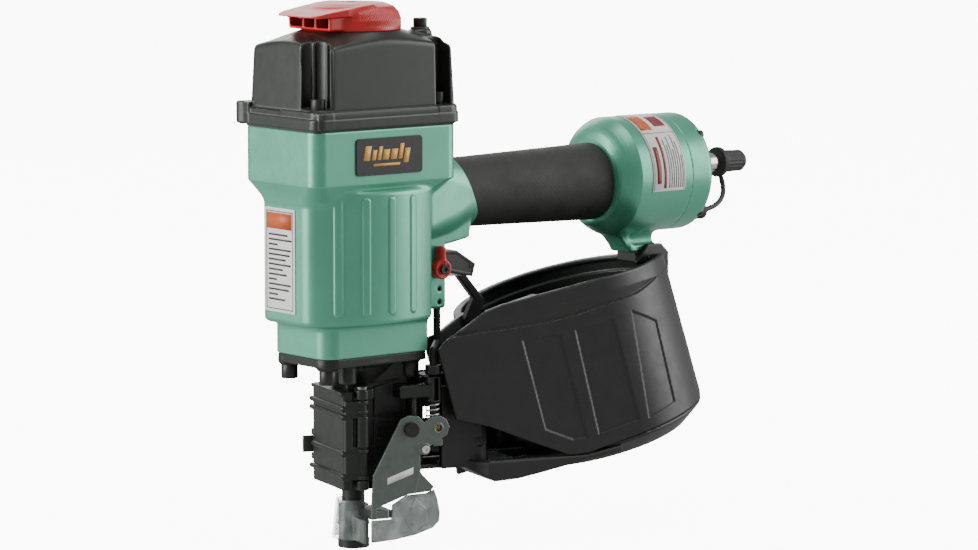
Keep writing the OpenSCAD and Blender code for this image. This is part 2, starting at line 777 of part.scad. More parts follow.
// Clearance for the bracket bolt and its head
module bracket_hole() {
    translate([226, 0, 146]) cylinder(h = 30, r = 2.5);
    translate([226, 0, 130]) cylinder(h = 16, r = 5);
}

module far_wall() {
    intersection() {
        union() {
            can_ring(-50.6, 34);
            can_ring(34, can_top, 1.2, can_wall + 2.7);
        }
        translate([-100, 0.3, -60]) cube([200, 100, 120]);
    }
}

module front_wall() {
    translate([0, 0, -46]) linear_extrude(88) polygon([[-68, 2], [-97.5, -25], [-106, -25], [-106, -28],
        [-96.4, -28], [-65, -1], [-65, 2]]);
}

module hinge_bracket() {
    translate([213, -9, 156]) cube([23, 18, 7.3]);
    translate([225.2, -9, 146]) cube([10.8, 18, 17]);
    xz_plate(-13, -9.3) polygon([[211, 157], [220, 167.5], [231, 167.5], [237, 162], [237, 146], [226, 146]]);
}

module track_floor() {
    translate([22.3, -14, 46]) cube([78, 28.5, 3]);
    translate([0, 0, 46]) linear_extrude(50)
        polygon([[50.5, -17], [76, -17], [80.5, -15], [82.5, -11.5], [79.4, -10.8],
        [78.2, -12.8], [75.5, -13.6], [50.5, -13.6]]);
    translate([75, -17.8, 61]) rotate([-90, 0, 0]) cylinder(h = 2, r = 2.6);
    difference() {
        intersection() {
            translate([0, 0, 38]) linear_extrude(22)
                polygon([[64, 14.5], [64, -12], [76, -29.3], [165, -29.3], [165, 14.5]]);
            channel_side(0, 50.4);
        }
        intersection() {
            translate([0, 0, 38]) linear_extrude(24)
                polygon([[67, 11.5], [67, -12], [77.5, -26.3], [170, -26.3], [170, 11.5]]);
            channel_side(2.8, 70);
        }
        translate([can_x, can_y, can_z]) rotate([0, -can_tilt, 0]) translate([0, 0, -57]) cylinder(h = 90, r = 66);
    }
}

// Side outline of the channel, from its underside raised by lift to its top edge
module channel_side(lift, top) {
    xz_plate(-60, 40) polygon([[0, 47.5 + lift], [66, 47.5 + lift], [79, 41.4 + lift], [112, 43.8 + lift],
        [140, 46.8 + lift], [172, 51.6 + lift], [172, top + 5.8], [141, top], [0, top]]);
}

// Strut from the magazine's front wall up to the handle's root
module magazine_stay() {
    xz_plate(9.8, 13.8) polygon([[92.5, 118], [98.5, 118], [107.5, 136], [107.5, 140.5], [72, 180.5],
        [65, 181.4], [99.5, 141], [92.5, 128]]);
}

module canister_cover() {
    color(black) mag_frame() difference() {
        union() {
            intersection() {
                union() {
                    can_ring(can_bottom, 52);
                    can_ring(30.5, 33.5, 1.6, 2.6);
                }
                translate([0, -100, -60]) cube([100, 99.7, 120]);
            }
            tangent_wall();
            translate([cover_hinge_x, cover_hinge_y, -19.7]) cylinder(h = 19.6, r = 4);
            translate([0, 0, -19.7]) linear_extrude(19.6)
                polygon([[66.2, -7], [70.5, -7], [76.6, 7], [76.6, 9.5],
                         [70.3, 9.5], [69.6, 3], [69.4, -0.3], [66.2, -0.3]]);
        }
        translate([cover_hinge_x, cover_hinge_y, -70]) cylinder(h = 100, r = 2.06);
        xz_plate(-90, 20) polygon([[0.2, 51], [80, 43.2], [80, 70], [0.2, 70]]);
        translate([30, 0, 0]) rotate([90, 0, 90]) linear_extrude(60)
            polygon([[-40, 46], [-6, 37], [5, 37], [5, 70], [-40, 70]]);
    }
}

// Flat front of the cover, leaning out with the taper of the round part
module tangent_wall() {
    lean = atan((can_low_r - can_r) / (can_top - can_bottom));
    translate([0, 0, can_top]) rotate([-lean, 0, 0]) translate([0, 0, -can_top]) {
        xz_plate(-can_r, -can_r + can_wall) polygon([[-115, 41], [-107, 46], [-90, 51], [-78, 55.5], [-67, 55.8],
            [0.2, 51], [0.2, can_bottom], [-37, can_bottom], [-49, -46], [-70, -31], [-94, -13], [-113, -2]]);
        xz_plate(-can_r - 1.6, -can_r) polygon([[-103, 49.4], [-83, 45], [-46, 39.4], [0.2, 33.5], [0.2, 30.5],
            [-46, 36.4], [-83, 42], [-103, 46.4]]);
    }
}

module cover_hinge_pin() {
    color(steel) mag_frame() {
        translate([cover_hinge_x, cover_hinge_y, -34]) cylinder(h = 48.2, r = 2);
        translate([cover_hinge_x, cover_hinge_y, 14.2]) cylinder(h = 2, r = 3.2);
    }
}

module nail_tray() {
    color("#50544F") mag_frame() difference() {
        union() {
            ring(5.1, 57, -44, -41.5);
            ring(5.1, 11, -41.5, -20);
            ring(55, 57, -41.5, -36);
        }
        for (a = [30 : 60 : 330]) rotate(a) translate([32, 0, -50]) cylinder(h = 20, r = 9);
    }
}

module bracket_bolt() {
    color("#2A2C2A") translate([226, 0, 146]) mirror([0, 0, 1]) socket_screw(4.5, 5, 2.5, 30);
}

housing();
emblem_plate();
front_label();
rear_label();
cap_gasket();
cylinder_cap();
cap_bolts();
cap_plug();
exhaust_deflector();
deflector_screw();
head_valve();
head_valve_spring();
cylinder_sleeve();
sleeve_seals();
bumper();
piston();
piston_ring();
driver_blade();
valve_body();
valve_plunger();
valve_spring();
roll_pins();
trigger();
trigger_lever();
lever_pin();
selector_lever();
selector_screw();
grip();
end_cap();
end_cap_seal();
end_cap_bolts();
air_plug();
dust_cap();
dust_cap_tether();
nose();
nose_bolts();
nail_door();
door_hinge_pin();
door_latch();
latch_pin();
contact_foot();
contact_plate();
contact_rod();
contact_spring();
depth_wheel();
adjuster_button();
arm_screw();
side_shield();
front_shield();
feed_cylinder();
feed_piston();
feed_spring();
feed_pawl();
canister();
canister_cover();
cover_hinge_pin();
nail_tray();
bracket_bolt();
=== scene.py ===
"""Looks of the coil nailer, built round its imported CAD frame.

Cast and moulded pieces are modelled as distance fields: each is a function that takes points in millimetres
and gives their distance to its surface, and surface() turns it into a closed, smooth-shaded mesh. Small
hardware keeps its CAD mesh and gets broken edges. Every material is a shader tree for its own kind of metal,
rubber or plastic.
"""
import json
import math
from concurrent.futures import ThreadPoolExecutor

import bpy
import numpy as np
from mathutils import Matrix, Vector


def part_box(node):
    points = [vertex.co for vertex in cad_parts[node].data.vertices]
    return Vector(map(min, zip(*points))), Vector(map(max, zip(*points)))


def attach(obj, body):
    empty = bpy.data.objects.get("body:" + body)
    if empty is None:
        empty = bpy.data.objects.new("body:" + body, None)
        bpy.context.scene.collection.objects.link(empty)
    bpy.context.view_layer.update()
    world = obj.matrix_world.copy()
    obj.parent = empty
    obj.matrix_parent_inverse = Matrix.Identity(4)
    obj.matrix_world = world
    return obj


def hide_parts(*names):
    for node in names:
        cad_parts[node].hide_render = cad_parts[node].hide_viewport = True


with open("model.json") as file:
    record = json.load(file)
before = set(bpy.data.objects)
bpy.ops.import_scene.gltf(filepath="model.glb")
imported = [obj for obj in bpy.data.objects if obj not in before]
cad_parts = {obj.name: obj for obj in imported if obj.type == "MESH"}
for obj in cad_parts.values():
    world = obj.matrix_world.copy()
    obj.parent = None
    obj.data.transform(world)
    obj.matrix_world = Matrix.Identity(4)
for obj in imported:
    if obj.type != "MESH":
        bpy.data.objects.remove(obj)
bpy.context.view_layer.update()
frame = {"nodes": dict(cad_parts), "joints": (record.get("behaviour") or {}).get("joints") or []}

MM = 0.001
COARSER = 1.0
FACE_LIMIT = 185000
POOL = ThreadPoolExecutor(4)


# ---------------------------------------------------------------- places taken from the frame, in millimetres

def cad(node):
    """Lowest and highest corner of a CAD node, in millimetres."""
    lo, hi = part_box(node)
    return np.array(lo) / MM, np.array(hi) / MM


def vertices(node):
    mesh = frame["nodes"][node].data
    co = np.empty(len(mesh.vertices) * 3, np.float32)
    mesh.vertices.foreach_get("co", co)
    return co.reshape(-1, 3).astype(float) / MM


def local_box(node, axes):
    """Lowest and highest corner of a CAD node in a turned frame."""
    q = axes.local(vertices(node))
    return q.min(0), q.max(0)


JOINTS = {j["name"]: j for j in frame["joints"]}


def joint_place(name):
    return np.array(JOINTS[name]["pos_m"]) / MM


class Axes:
    """A turned frame: local() takes row coordinates in, in millimetres."""

    def __init__(self, origin, x, z):
        x = np.array(x, float)
        z = np.array(z, float)
        x = x - z * (x @ z) / (z @ z)
        x /= np.linalg.norm(x)
        z /= np.linalg.norm(z)
        self.origin = np.array(origin, float)
        self.rows = np.array([x, np.cross(z, x), z])

    def local(self, p):
        return (p - self.origin) @ self.rows.T

    def world(self, q):
        return np.asarray(q, float) @ self.rows + self.origin


HEAD_LO, HEAD_HI = cad("cap_gasket")
HOUSING_LO, HOUSING_HI = cad("housing")
CAP_LO, CAP_HI = cad("cylinder_cap")
GRIP_LO, GRIP_HI = cad("grip")
END_LO, END_HI = cad("end_cap")
HEAD_TOP = HEAD_LO[2]
NOSE_TOP = HOUSING_LO[2]
GRIP_Z = (GRIP_LO[2] + GRIP_HI[2]) / 2
PLENUM_Z = (END_LO[2] + END_HI[2]) / 2
PLENUM_R = (END_HI[2] - END_LO[2]) / 2
PLUG_LO, PLUG_HI = cad("air_plug")
PLUG_Z = (PLUG_LO[2] + PLUG_HI[2]) / 2
NOSE = Axes((0, 0, 0), JOINTS["feed_stroke"]["axis"], (0, 0, 1))
CAN_UP = np.array(JOINTS["cover_swing"]["axis"])
COVER_HINGE = joint_place("cover_swing")
HINGE_U, HINGE_V = 73.2, 9.5
HINGE_ARM = Axes((0, 0, 0), NOSE.rows[0], CAN_UP).world((HINGE_U, HINGE_V, 0))
MAG = Axes(COVER_HINGE - HINGE_ARM, NOSE.rows[0], CAN_UP)
PIVOT = joint_place("selector_turn")
LEVER_PIVOT = joint_place("trigger_lever_tilt")


# ---------------------------------------------------------------- distance fields

def length(*parts):
    return np.sqrt(sum(part * part for part in parts))


def smooth_min(a, b, k):
    if k <= 0:
        return np.minimum(a, b)
    h = np.maximum(k - np.abs(a - b), 0) / k
    return np.minimum(a, b) - h * h * k / 4


def join(k, *fields):
    """Union, with a fillet of about k where the parts meet."""
    d = fields[0]
    for other in fields[1:]:
        d = smooth_min(d, other, k)
    return d


def common(k, *fields):
    """What all the fields share, with its edges rounded by about k."""
    return -join(k, *[-f for f in fields])


def cut(k, body, *tools):
    return common(k, body, *[-t for t in tools])


def edged(across, along, r):
    """An outline's distance and a thickness's distance as one solid with its edges rounded by r."""
    a = across + r
    b = along + r
    return np.minimum(np.maximum(a, b), 0) + length(np.maximum(a, 0), np.maximum(b, 0)) - r


def between(v, lo, hi):
    return np.abs(v - (lo + hi) / 2) - (hi - lo) / 2


def box(p, lo, hi, r=0.0):
    q = [between(p[:, i], lo[i], hi[i]) + r for i in range(3)]
    outside = length(*[np.maximum(v, 0) for v in q])
    return np.minimum(np.maximum(np.maximum(q[0], q[1]), q[2]), 0) + outside - r


def rectangle(u, v, lo, hi, r):
    a = between(u, lo[0], hi[0]) + r
    b = between(v, lo[1], hi[1]) + r
    return np.minimum(np.maximum(a, b), 0) + length(np.maximum(a, 0), np.maximum(b, 0)) - r


def outline(u, v, points):
    """Distance to a polygon in a plane."""
    n = len(points)
    best = None
    inside = np.zeros(len(u), bool)
    for i in range(n):
        (ax, ay), (bx, by) = points[i], points[(i + 1) % n]
        ex, ey = bx - ax, by - ay
        wu, wv = u - ax, v - ay
        t = np.clip((wu * ex + wv * ey) / (ex * ex + ey * ey), 0, 1)
        d2 = (wu - ex * t) ** 2 + (wv - ey * t) ** 2
        best = d2 if best is None else np.minimum(best, d2)
        if ay != by:
            crosses = (ay > v) != (by > v)
            inside ^= crosses & (u < ex * (v - ay) / ey + ax)
    return np.where(inside, -1, 1) * np.sqrt(best)


def plate(p, points, lo, hi, r=0.0, axis=1, soften=0.0):
    """A polygon drawn in the two other axes, from lo to hi along axis. soften rounds its corners."""
    i, j = [k for k in range(3) if k != axis]
    flat = outline(p[:, i], p[:, j], points) - soften
    return edged(flat, between(p[:, axis], lo, hi), r)


def rod(p, a, b, radius, r=0.0, end_radius=None):
    """A cylinder, or a cone where end_radius is given, from a to b."""
    a = np.array(a, float)
    b = np.array(b, float)
    size = np.linalg.norm(b - a)
    axis = (b - a) / size
    w = p - a
    along = w @ axis
    out = length(*(w - along[:, None] * axis).T)
    if end_radius is not None:
        slope = (end_radius - radius) / size
        across = (out - radius - slope * along) / math.sqrt(1 + slope * slope)
    else:
        across = out - radius
    return edged(across, np.abs(along - size / 2) - size / 2, r)


def upright(p, x, y, low, high, *shape):
    """A rod along the third axis."""
    return rod(p, (x, y, low), (x, y, high), *shape)


def crosswise(p, x, z, near, far, *shape):
    """A rod along the second axis."""
    return rod(p, (x, near, z), (x, far, z), *shape)


def bar(p, a, b, radius):
    """A rod with round ends."""
    a = np.array(a, float)
    w = p - a
    e = np.array(b, float) - a
    t = np.clip((w @ e) / (e @ e), 0, 1)
    return length(*(w - t[:, None] * e).T) - radius


def ramp(value, *points):
    """A height that runs straight from point to point over value."""
    return np.interp(value, *zip(*points))


def polyline(p, points, radius):
    return np.minimum.reduce([bar(p, a, b, radius) for a, b in zip(points, points[1:])])


def turned(p, profile, z, soften=0.0):
    """A lathe profile of (x, radius) about X at height z, or of (radius, z) about Z where z is None."""
    if z is None:
        return outline(length(p[:, 0], p[:, 1]), p[:, 2], profile) - soften
    return outline(p[:, 0], length(p[:, 1], p[:, 2] - z), profile) - soften


# ---------------------------------------------------------------- from a distance field to a mesh

def spread(field, points):
    """field at many points, in pieces that fit the processor's cache, on all cores."""
    size = 24000
    parts = [points[i:i + size] for i in range(0, len(points), size)]
    return np.concatenate(list(POOL.map(field, parts)))


def gradient(field, p, h):
    corners = np.array([(1, -1, -1), (-1, -1, 1), (-1, 1, -1), (1, 1, 1)], float)
    g = 0
    for corner in corners:
        g = g + corner * spread(field, p + corner * h)[:, None]
    return g / (4 * h)


def sampled(field, lo, step, counts):
    """The field on a grid. Away from the surface a block of cells holds one value: only its sign counts."""
    n = 8
    blocks = counts // n
    index = np.stack(np.meshgrid(*[np.arange(b) for b in blocks], indexing="ij"), -1).reshape(-1, 3)
    middle = lo + (index * n + (n - 1) / 2) * step
    rough = spread(field, middle)
    grid = np.empty(tuple(np.ravel(np.column_stack([blocks, [n] * 3]))), np.float32)
    grid[:] = rough.reshape(blocks)[:, None, :, None, :, None]
    near = index[np.abs(rough) < step * n * 1.05]
    cell = np.stack(np.meshgrid(*[np.arange(n)] * 3, indexing="ij"), -1).reshape(-1, 3)
    batch = 400
    for i in range(0, len(near), batch):
        some = near[i:i + batch]
        points = lo + (some[:, None, :] * n + cell) * step
        values = spread(field, points.reshape(-1, 3)).reshape(-1, n, n, n)
        grid[some[:, 0], :, some[:, 1], :, some[:, 2], :] = values
    return grid.reshape(counts)


def net(grid, lo, step):
    """Surface nets: a point in each cell that the surface crosses, a quad for each crossed grid edge."""
    solid = grid < 0
    count = np.zeros(tuple(s - 1 for s in grid.shape), np.uint8)
    corners = [(i, j, k) for i in (0, 1) for j in (0, 1) for k in (0, 1)]
    for i, j, k in corners:
        count += solid[i:i + count.shape[0], j:j + count.shape[1], k:k + count.shape[2]]
    cells = np.argwhere((count > 0) & (count < 8))
    value = {c: grid[tuple((cells + c).T)] for c in corners}
    total = np.zeros((len(cells), 3))
    hits = np.zeros(len(cells))
    for a in corners:
        for axis in range(3):
            if a[axis]:
                continue
            b = tuple(1 if i == axis else a[i] for i in range(3))
            crossed = (value[a] < 0) != (value[b] < 0)
            t = np.where(crossed, value[a] / np.where(crossed, value[a] - value[b], 1), 0)
            place = np.array(a, float) + t[:, None] * np.eye(3)[axis]
            total += place * crossed[:, None]
            hits += crossed
    points = lo + (cells + total / hits[:, None]) * step
    number = np.full(count.shape, -1, np.int32)
    number[tuple(cells.T)] = np.arange(len(cells))
    quads = []
    for axis in range(3):
        u, v = [(1, 2), (2, 0), (0, 1)][axis]
        here = np.take(solid, range(solid.shape[axis] - 1), axis)
        there = np.take(solid, range(1, solid.shape[axis]), axis)
        at = np.argwhere(here != there)
        keep = (at[:, u] > 0) & (at[:, v] > 0) & (at[:, u] < count.shape[u]) & (at[:, v] < count.shape[v])
        at = at[keep]
        back_u, back_v = np.eye(3, dtype=int)[u], np.eye(3, dtype=int)[v]
        ring = [number[tuple((at - a * back_u - b * back_v).T)] for a, b in ((1, 1), (0, 1), (0, 0), (1, 0))]
        quad = np.stack(ring, 1)
        flip = ~here[tuple(at.T)]
        quad[flip] = quad[flip][:, ::-1]
        quads.append(quad)
    return points, np.concatenate(quads)


def settle(field, p, step, rounds):
    """Moves points onto the surface along its slope, never further than most of a cell."""
    for _ in range(rounds):
        d = spread(field, p)
        g = gradient(field, p, 0.15 * step)
        move = d / np.maximum((g * g).sum(1), 0.25)
        p = p - g * np.clip(move, -0.6 * step, 0.6 * step)[:, None]
    return p


def mesh_from(name, points, faces, sides):
    """Mesh data from arrays, in metres, every face with the same number of sides."""
    mesh = bpy.data.meshes.new(name)
    mesh.vertices.add(len(points))
    mesh.vertices.foreach_set("co", (points * MM).astype(np.float32).ravel())
    mesh.loops.add(faces.size)
    mesh.loops.foreach_set("vertex_index", faces.astype(np.int32).ravel())
    mesh.polygons.add(len(faces))
    mesh.polygons.foreach_set("loop_start", np.arange(0, faces.size, sides, dtype=np.int32))
    mesh.polygons.foreach_set("loop_total", np.full(len(faces), sides, np.int32))
    mesh.update(calc_edges=True)
    return mesh


def thinned(obj, share):
    """The object's mesh with that share of its faces left, as triangles."""
    modifier = obj.modifiers.new("thin", "DECIMATE")
    modifier.ratio = share
    evaluated = obj.evaluated_get(bpy.context.evaluated_depsgraph_get())
    mesh = bpy.data.meshes.new_from_object(evaluated)
    obj.modifiers.clear()
    return mesh


def surface(name, field, lo, hi, step, material, body, replaces=(), slot=None, limit=FACE_LIMIT):
    """A piece whose surface is where the field is nought, inside the box from lo to hi."""
    step = step * COARSER
    lo = np.array(lo, float) - 2.5 * step
    hi = np.array(hi, float) + 2.5 * step
    counts = (np.ceil((hi - lo) / step / 8) * 8 + 8).astype(int)
    grid = sampled(field, lo, step, counts)
    points, quads = net(grid, lo, step)
    points = settle(field, points, step, 2)
    mesh = mesh_from(name, points, quads, 4)
    obj = bpy.data.objects.new(name, mesh)
    bpy.context.scene.collection.objects.link(obj)
    triangles = 2 * len(quads)
    if triangles > limit:
        obj.data = thinned(obj, limit / triangles)
        mesh = obj.data
        co = np.empty(len(mesh.vertices) * 3, np.float32)
        mesh.vertices.foreach_get("co", co)
        points = settle(field, co.reshape(-1, 3).astype(float) / MM, step, 1)
        mesh.vertices.foreach_set("co", (points * MM).astype(np.float32).ravel())
    mesh.polygons.foreach_set("use_smooth", np.ones(len(mesh.polygons), bool))
    normals = gradient(field, points, 0.3 * step)
    normals /= np.maximum(np.linalg.norm(normals, axis=1), 1e-9)[:, None]
    mesh.normals_split_custom_set_from_vertices(normals)
    mesh.update()
    return placed(obj, material, body, replaces)


def placed(obj, material, body, replaces=()):
    obj.data.materials.clear()
    obj.data.materials.append(material)
    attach(obj, body)
    if replaces:
        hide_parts(*replaces)
    return obj


# ---------------------------------------------------------------- materials

class Nodes:
    """A short way to write a shader tree."""

    def __init__(self, name):
        self.material = bpy.data.materials.new(name)
        self.material.use_nodes = True
        self.tree = self.material.node_tree
        self.shader = self.tree.nodes["Principled BSDF"]
        self.place = self.add("ShaderNodeTexCoord").outputs["Object"]

    def add(self, kind, **inputs):
        node = self.tree.nodes.new(kind)
        for key, value in inputs.items():
            self.feed(node.inputs[key.replace("_", " ")], value)
        return node

    def feed(self, socket, value):
        if isinstance(value, bpy.types.NodeSocket):
            self.tree.links.new(value, socket)
        else:
            socket.default_value = value

    def noise(self, size, detail=3.0, stretch=(1, 1, 1)):
        """Noise whose lumps are about size millimetres, as a value from 0 to 1."""
        place = self.add("ShaderNodeMapping", Vector=self.place, Scale=stretch).outputs[0]
        return self.add("ShaderNodeTexNoise", Vector=place, Scale=1 / (size * MM), Detail=detail).outputs[0]

    def ranged(self, value, lo, hi, to_lo, to_hi):
        node = self.add("ShaderNodeMapRange", Value=value)
        for i, number in enumerate((lo, hi, to_lo, to_hi), 1):
            node.inputs[i].default_value = number
        return node.outputs[0]

    def blend(self, share, a, b, mode="MIX"):
        node = self.tree.nodes.new("ShaderNodeMix")
        node.data_type = "RGBA"
        node.blend_type = mode
        self.feed(node.inputs["Factor"], share)
        self.feed(node.inputs["A"], a)
        self.feed(node.inputs["B"], b)
        return node.outputs["Result"]

    def mottled(self, noise, colour, dark, light, lo=0.3, hi=0.7):
        """The colour, darker where the noise is low and lighter where it is high."""
        return self.blend(self.ranged(noise, lo, hi, 0.0, 1.0), tinted(colour, dark), tinted(colour, light))

    def worn(self, colour, edge_colour, lo=0.515, hi=0.56):
        """Lighter where the surface turns sharply outwards."""
        point = self.add("ShaderNodeNewGeometry").outputs["Pointiness"]
        return self.blend(self.ranged(point, lo, hi, 0.0, 1.0), colour, edge_colour)

    def relief(self, height, depth, normal=None):
        bump = self.add("ShaderNodeBump", Height=height, Strength=1.0, Distance=depth * MM)
        if normal is not None:
            self.feed(bump.inputs["Normal"], normal)
        return bump.outputs[0]

    def rounded(self, radius):
        return self.add("ShaderNodeBevel", Radius=radius * MM).outputs[0]

    def set(self, **inputs):
        for key, value in inputs.items():
            self.feed(self.shader.inputs[key.replace("_", " ")], value)
        return self.material


def rgb(*srgb):
    """Screen colour values from 0 to 255 as a linear colour."""
    linear = [(v / 255 / 12.92) if v < 10 else ((v / 255 + 0.055) / 1.055) ** 2.4 for v in srgb]
    return (*linear, 1.0)


def tinted(colour, by):
    return (*[min(1.0, c * by) for c in colour[:3]], 1.0)


def painted(name, colour, metallic, roughness, coat=0.0, peel=0.02, edge=1.35):
    """Sprayed or anodised metal: fine orange peel, clouds in colour and gloss, brighter rubbed edges."""
    n = Nodes(name)
    base = n.worn(n.mottled(n.noise(38, 4), colour, 0.94, 1.06), tinted(colour, edge))
    rough = n.ranged(n.noise(7, 3), 0.25, 0.75, roughness - 0.05, roughness + 0.06)
    normal = n.relief(n.noise(1.1, 3), peel, n.rounded(0.35))
    return n.set(Base_Color=base, Metallic=metallic, Roughness=rough, Coat_Weight=coat,
                 Coat_Roughness=0.25, Normal=normal)


def moulded(name, colour, roughness, grain_size=0.7, grain=0.05, edge=1.6):
    """Moulded plastic with a fine leather-like grain and lighter rubbed edges."""
    n = Nodes(name)
    base = n.worn(n.mottled(n.noise(30, 4), colour, 0.86, 1.12), tinted(colour, edge))
    cells = n.add("ShaderNodeTexVoronoi", Vector=n.place, Scale=1 / (grain_size * MM)).outputs["Distance"]
    rough = n.ranged(n.noise(9, 3), 0.25, 0.75, roughness - 0.06, roughness + 0.07)
    normal = n.relief(cells, grain, n.rounded(0.3))
    return n.set(Base_Color=base, Roughness=rough, Normal=normal)


def rubbery(name, colour, roughness=0.75):
    """Rubber: matt, with a fine nap and dusty patches."""
    n = Nodes(name)
    dust = n.noise(16, 5)
    base = n.mottled(dust, colour, 0.85, 1.3, 0.35, 0.75)
    nap = n.noise(0.5, 4)
    base = n.blend(n.ranged(nap, 0.3, 0.8, 0.0, 0.35), base, tinted(colour, 1.7))
    rough = n.ranged(dust, 0.3, 0.7, roughness - 0.08, roughness + 0.1)
    return n.set(Base_Color=base, Roughness=rough, Normal=n.relief(nap, 0.06))


def machined(name, colour, roughness, stretch=(1, 1, 14), metallic=0.95, scratch=0.01):
    """Bare or blackened metal with fine lines from grinding or turning, and small stains."""
    n = Nodes(name)
    lines = n.noise(1.6, 4, stretch)
    stains = n.noise(6, 5)
    base = n.blend(n.ranged(stains, 0.4, 0.75, 0.0, 0.55), colour, tinted(colour, 0.7))
    base = n.blend(n.ranged(lines, 0.35, 0.7, 0.0, 0.3), base, tinted(colour, 1.3))
    base = n.worn(base, tinted(colour, 1.5), 0.52, 0.6)
    rough = n.ranged(lines, 0.3, 0.7, roughness - 0.07, roughness + 0.1)
    normal = n.relief(lines, scratch, n.rounded(0.25))
    return n.set(Base_Color=base, Metallic=metallic, Roughness=rough, Normal=normal)


def clear_plastic(name, thin, thick):
    """Clear guard plastic with milky scuffs. thin and thick are how much of what is behind it they hide."""
    n = Nodes(name)
    smears = n.ranged(n.noise(11, 4), 0.45, 0.7, 0.0, 1.0)
    base = n.blend(smears, rgb(104, 114, 110), rgb(156, 164, 160))
    alpha = n.ranged(n.noise(9, 4), 0.35, 0.75, thin, thick)
    rough = n.ranged(n.noise(2, 4), 0.3, 0.7, 0.08, 0.22)
    return n.set(Base_Color=base, Roughness=rough, Alpha=alpha, IOR=1.49)


def printed(name, colour, roughness=0.45):
    """Printed film, with a faint print grain."""
    n = Nodes(name)
    base = n.mottled(n.noise(3, 4), colour, 0.96, 1.03)
    return n.set(Base_Color=base, Roughness=roughness, Normal=n.relief(n.noise(0.8, 2), 0.006))


GREEN = painted("green_enamel", rgb(90, 166, 138), 0.5, 0.36, coat=0.2, peel=0.012, edge=1.16)
CAP_BLACK = painted("cap_black", rgb(46, 49, 45), 0.45, 0.36, coat=0.15, peel=0.025, edge=1.9)
NOSE_DARK = painted("nose_dark", rgb(42, 45, 42), 0.5, 0.4, peel=0.04, edge=1.7)
FOOT = painted("foot_grey", rgb(44, 50, 44), 0.5, 0.4, peel=0.04, edge=1.6)
TRIGGER = moulded("trigger_black", rgb(46, 46, 44), 0.42, 0.6, 0.02)
BOLT_BLACK = machined("bolt_black", rgb(52, 53, 50), 0.4, (1, 1, 1), 0.8)
RED = painted("signal_red", rgb(190, 28, 26), 0.0, 0.38, coat=0.2, peel=0.01, edge=1.25)
CANISTER = moulded("canister_black", rgb(22, 25, 22), 0.42, 0.55, 0.012)
RUBBER = rubbery("grip_rubber", rgb(34, 34, 31), 0.66)
SEAL = rubbery("seal_rubber", rgb(34, 34, 33), 0.6)
STEEL = machined("arm_plate", rgb(104, 112, 107), 0.4, (9, 9, 1), 0.85)
BRIGHT = machined("bright_steel", rgb(205, 204, 198), 0.22, (12, 1, 1))
SPRING = machined("spring_steel", rgb(170, 170, 165), 0.3, (1, 1, 1))
CAST = machined("cast_aluminium", rgb(178, 180, 176), 0.45, (1, 1, 1), 0.9, 0.03)
BRASS = machined("brass", rgb(178, 152, 84), 0.32, (1, 1, 1))
CLEAR = clear_plastic("clear_guard", 0.35, 0.6)
MILKY = clear_plastic("milky_guard", 0.88, 0.96)
LABEL = printed("label_white", rgb(214, 214, 212), 0.5)
LABEL_GREY = printed("label_grey", rgb(96, 94, 94))
LABEL_ORANGE = printed("label_orange", rgb(190, 88, 36))
LABEL_MAROON = printed("label_maroon", rgb(120, 40, 42))
LABEL_DARK = printed("label_dark", rgb(52, 50, 50))
EMBLEM = printed("emblem_black", rgb(24, 22, 26), 0.42)
EMBLEM_GOLD = printed("emblem_gold", rgb(226, 168, 78), 0.35)


# ---------------------------------------------------------------- stage, lights and camera

def make_camera():
    camera = bpy.data.objects.new("camera", bpy.data.cameras.new("camera"))
    bpy.context.scene.collection.objects.link(camera)
    azimuth, elevation, distance = math.radians(-38.5), math.radians(7), 2.76
    back = Vector((math.sin(azimuth) * math.cos(elevation), -math.cos(azimuth) * math.cos(elevation),
                   math.sin(elevation)))
    side = Vector((math.cos(azimuth), math.sin(azimuth), 0))
    up = back.cross(side)
    aim = side * CAMERA_ASIDE + up * CAMERA_ABOVE
    camera.location = aim + back * distance
    camera.rotation_euler = (math.pi / 2 - elevation, 0, azimuth)
    camera.data.lens = 169.33
    camera.data.clip_start, camera.data.clip_end = 0.1, 20
    bpy.context.scene.camera = camera


# How far the middle of the view is from the foot's tip, across and up, in metres
CAMERA_ASIDE = 0.08118
CAMERA_ABOVE = 0.1626


def soft_light(name, place, aim, size, power, colour=(1, 1, 1)):
    data = bpy.data.lights.new(name, "AREA")
    data.shape = "RECTANGLE"
    data.size, data.size_y = size
    data.energy = power
    data.color = colour
    light = bpy.data.objects.new(name, data)
    bpy.context.scene.collection.objects.link(light)
    light.location = place
    light.rotation_euler = (Vector(aim) - Vector(place)).to_track_quat("-Z", "Y").to_euler()


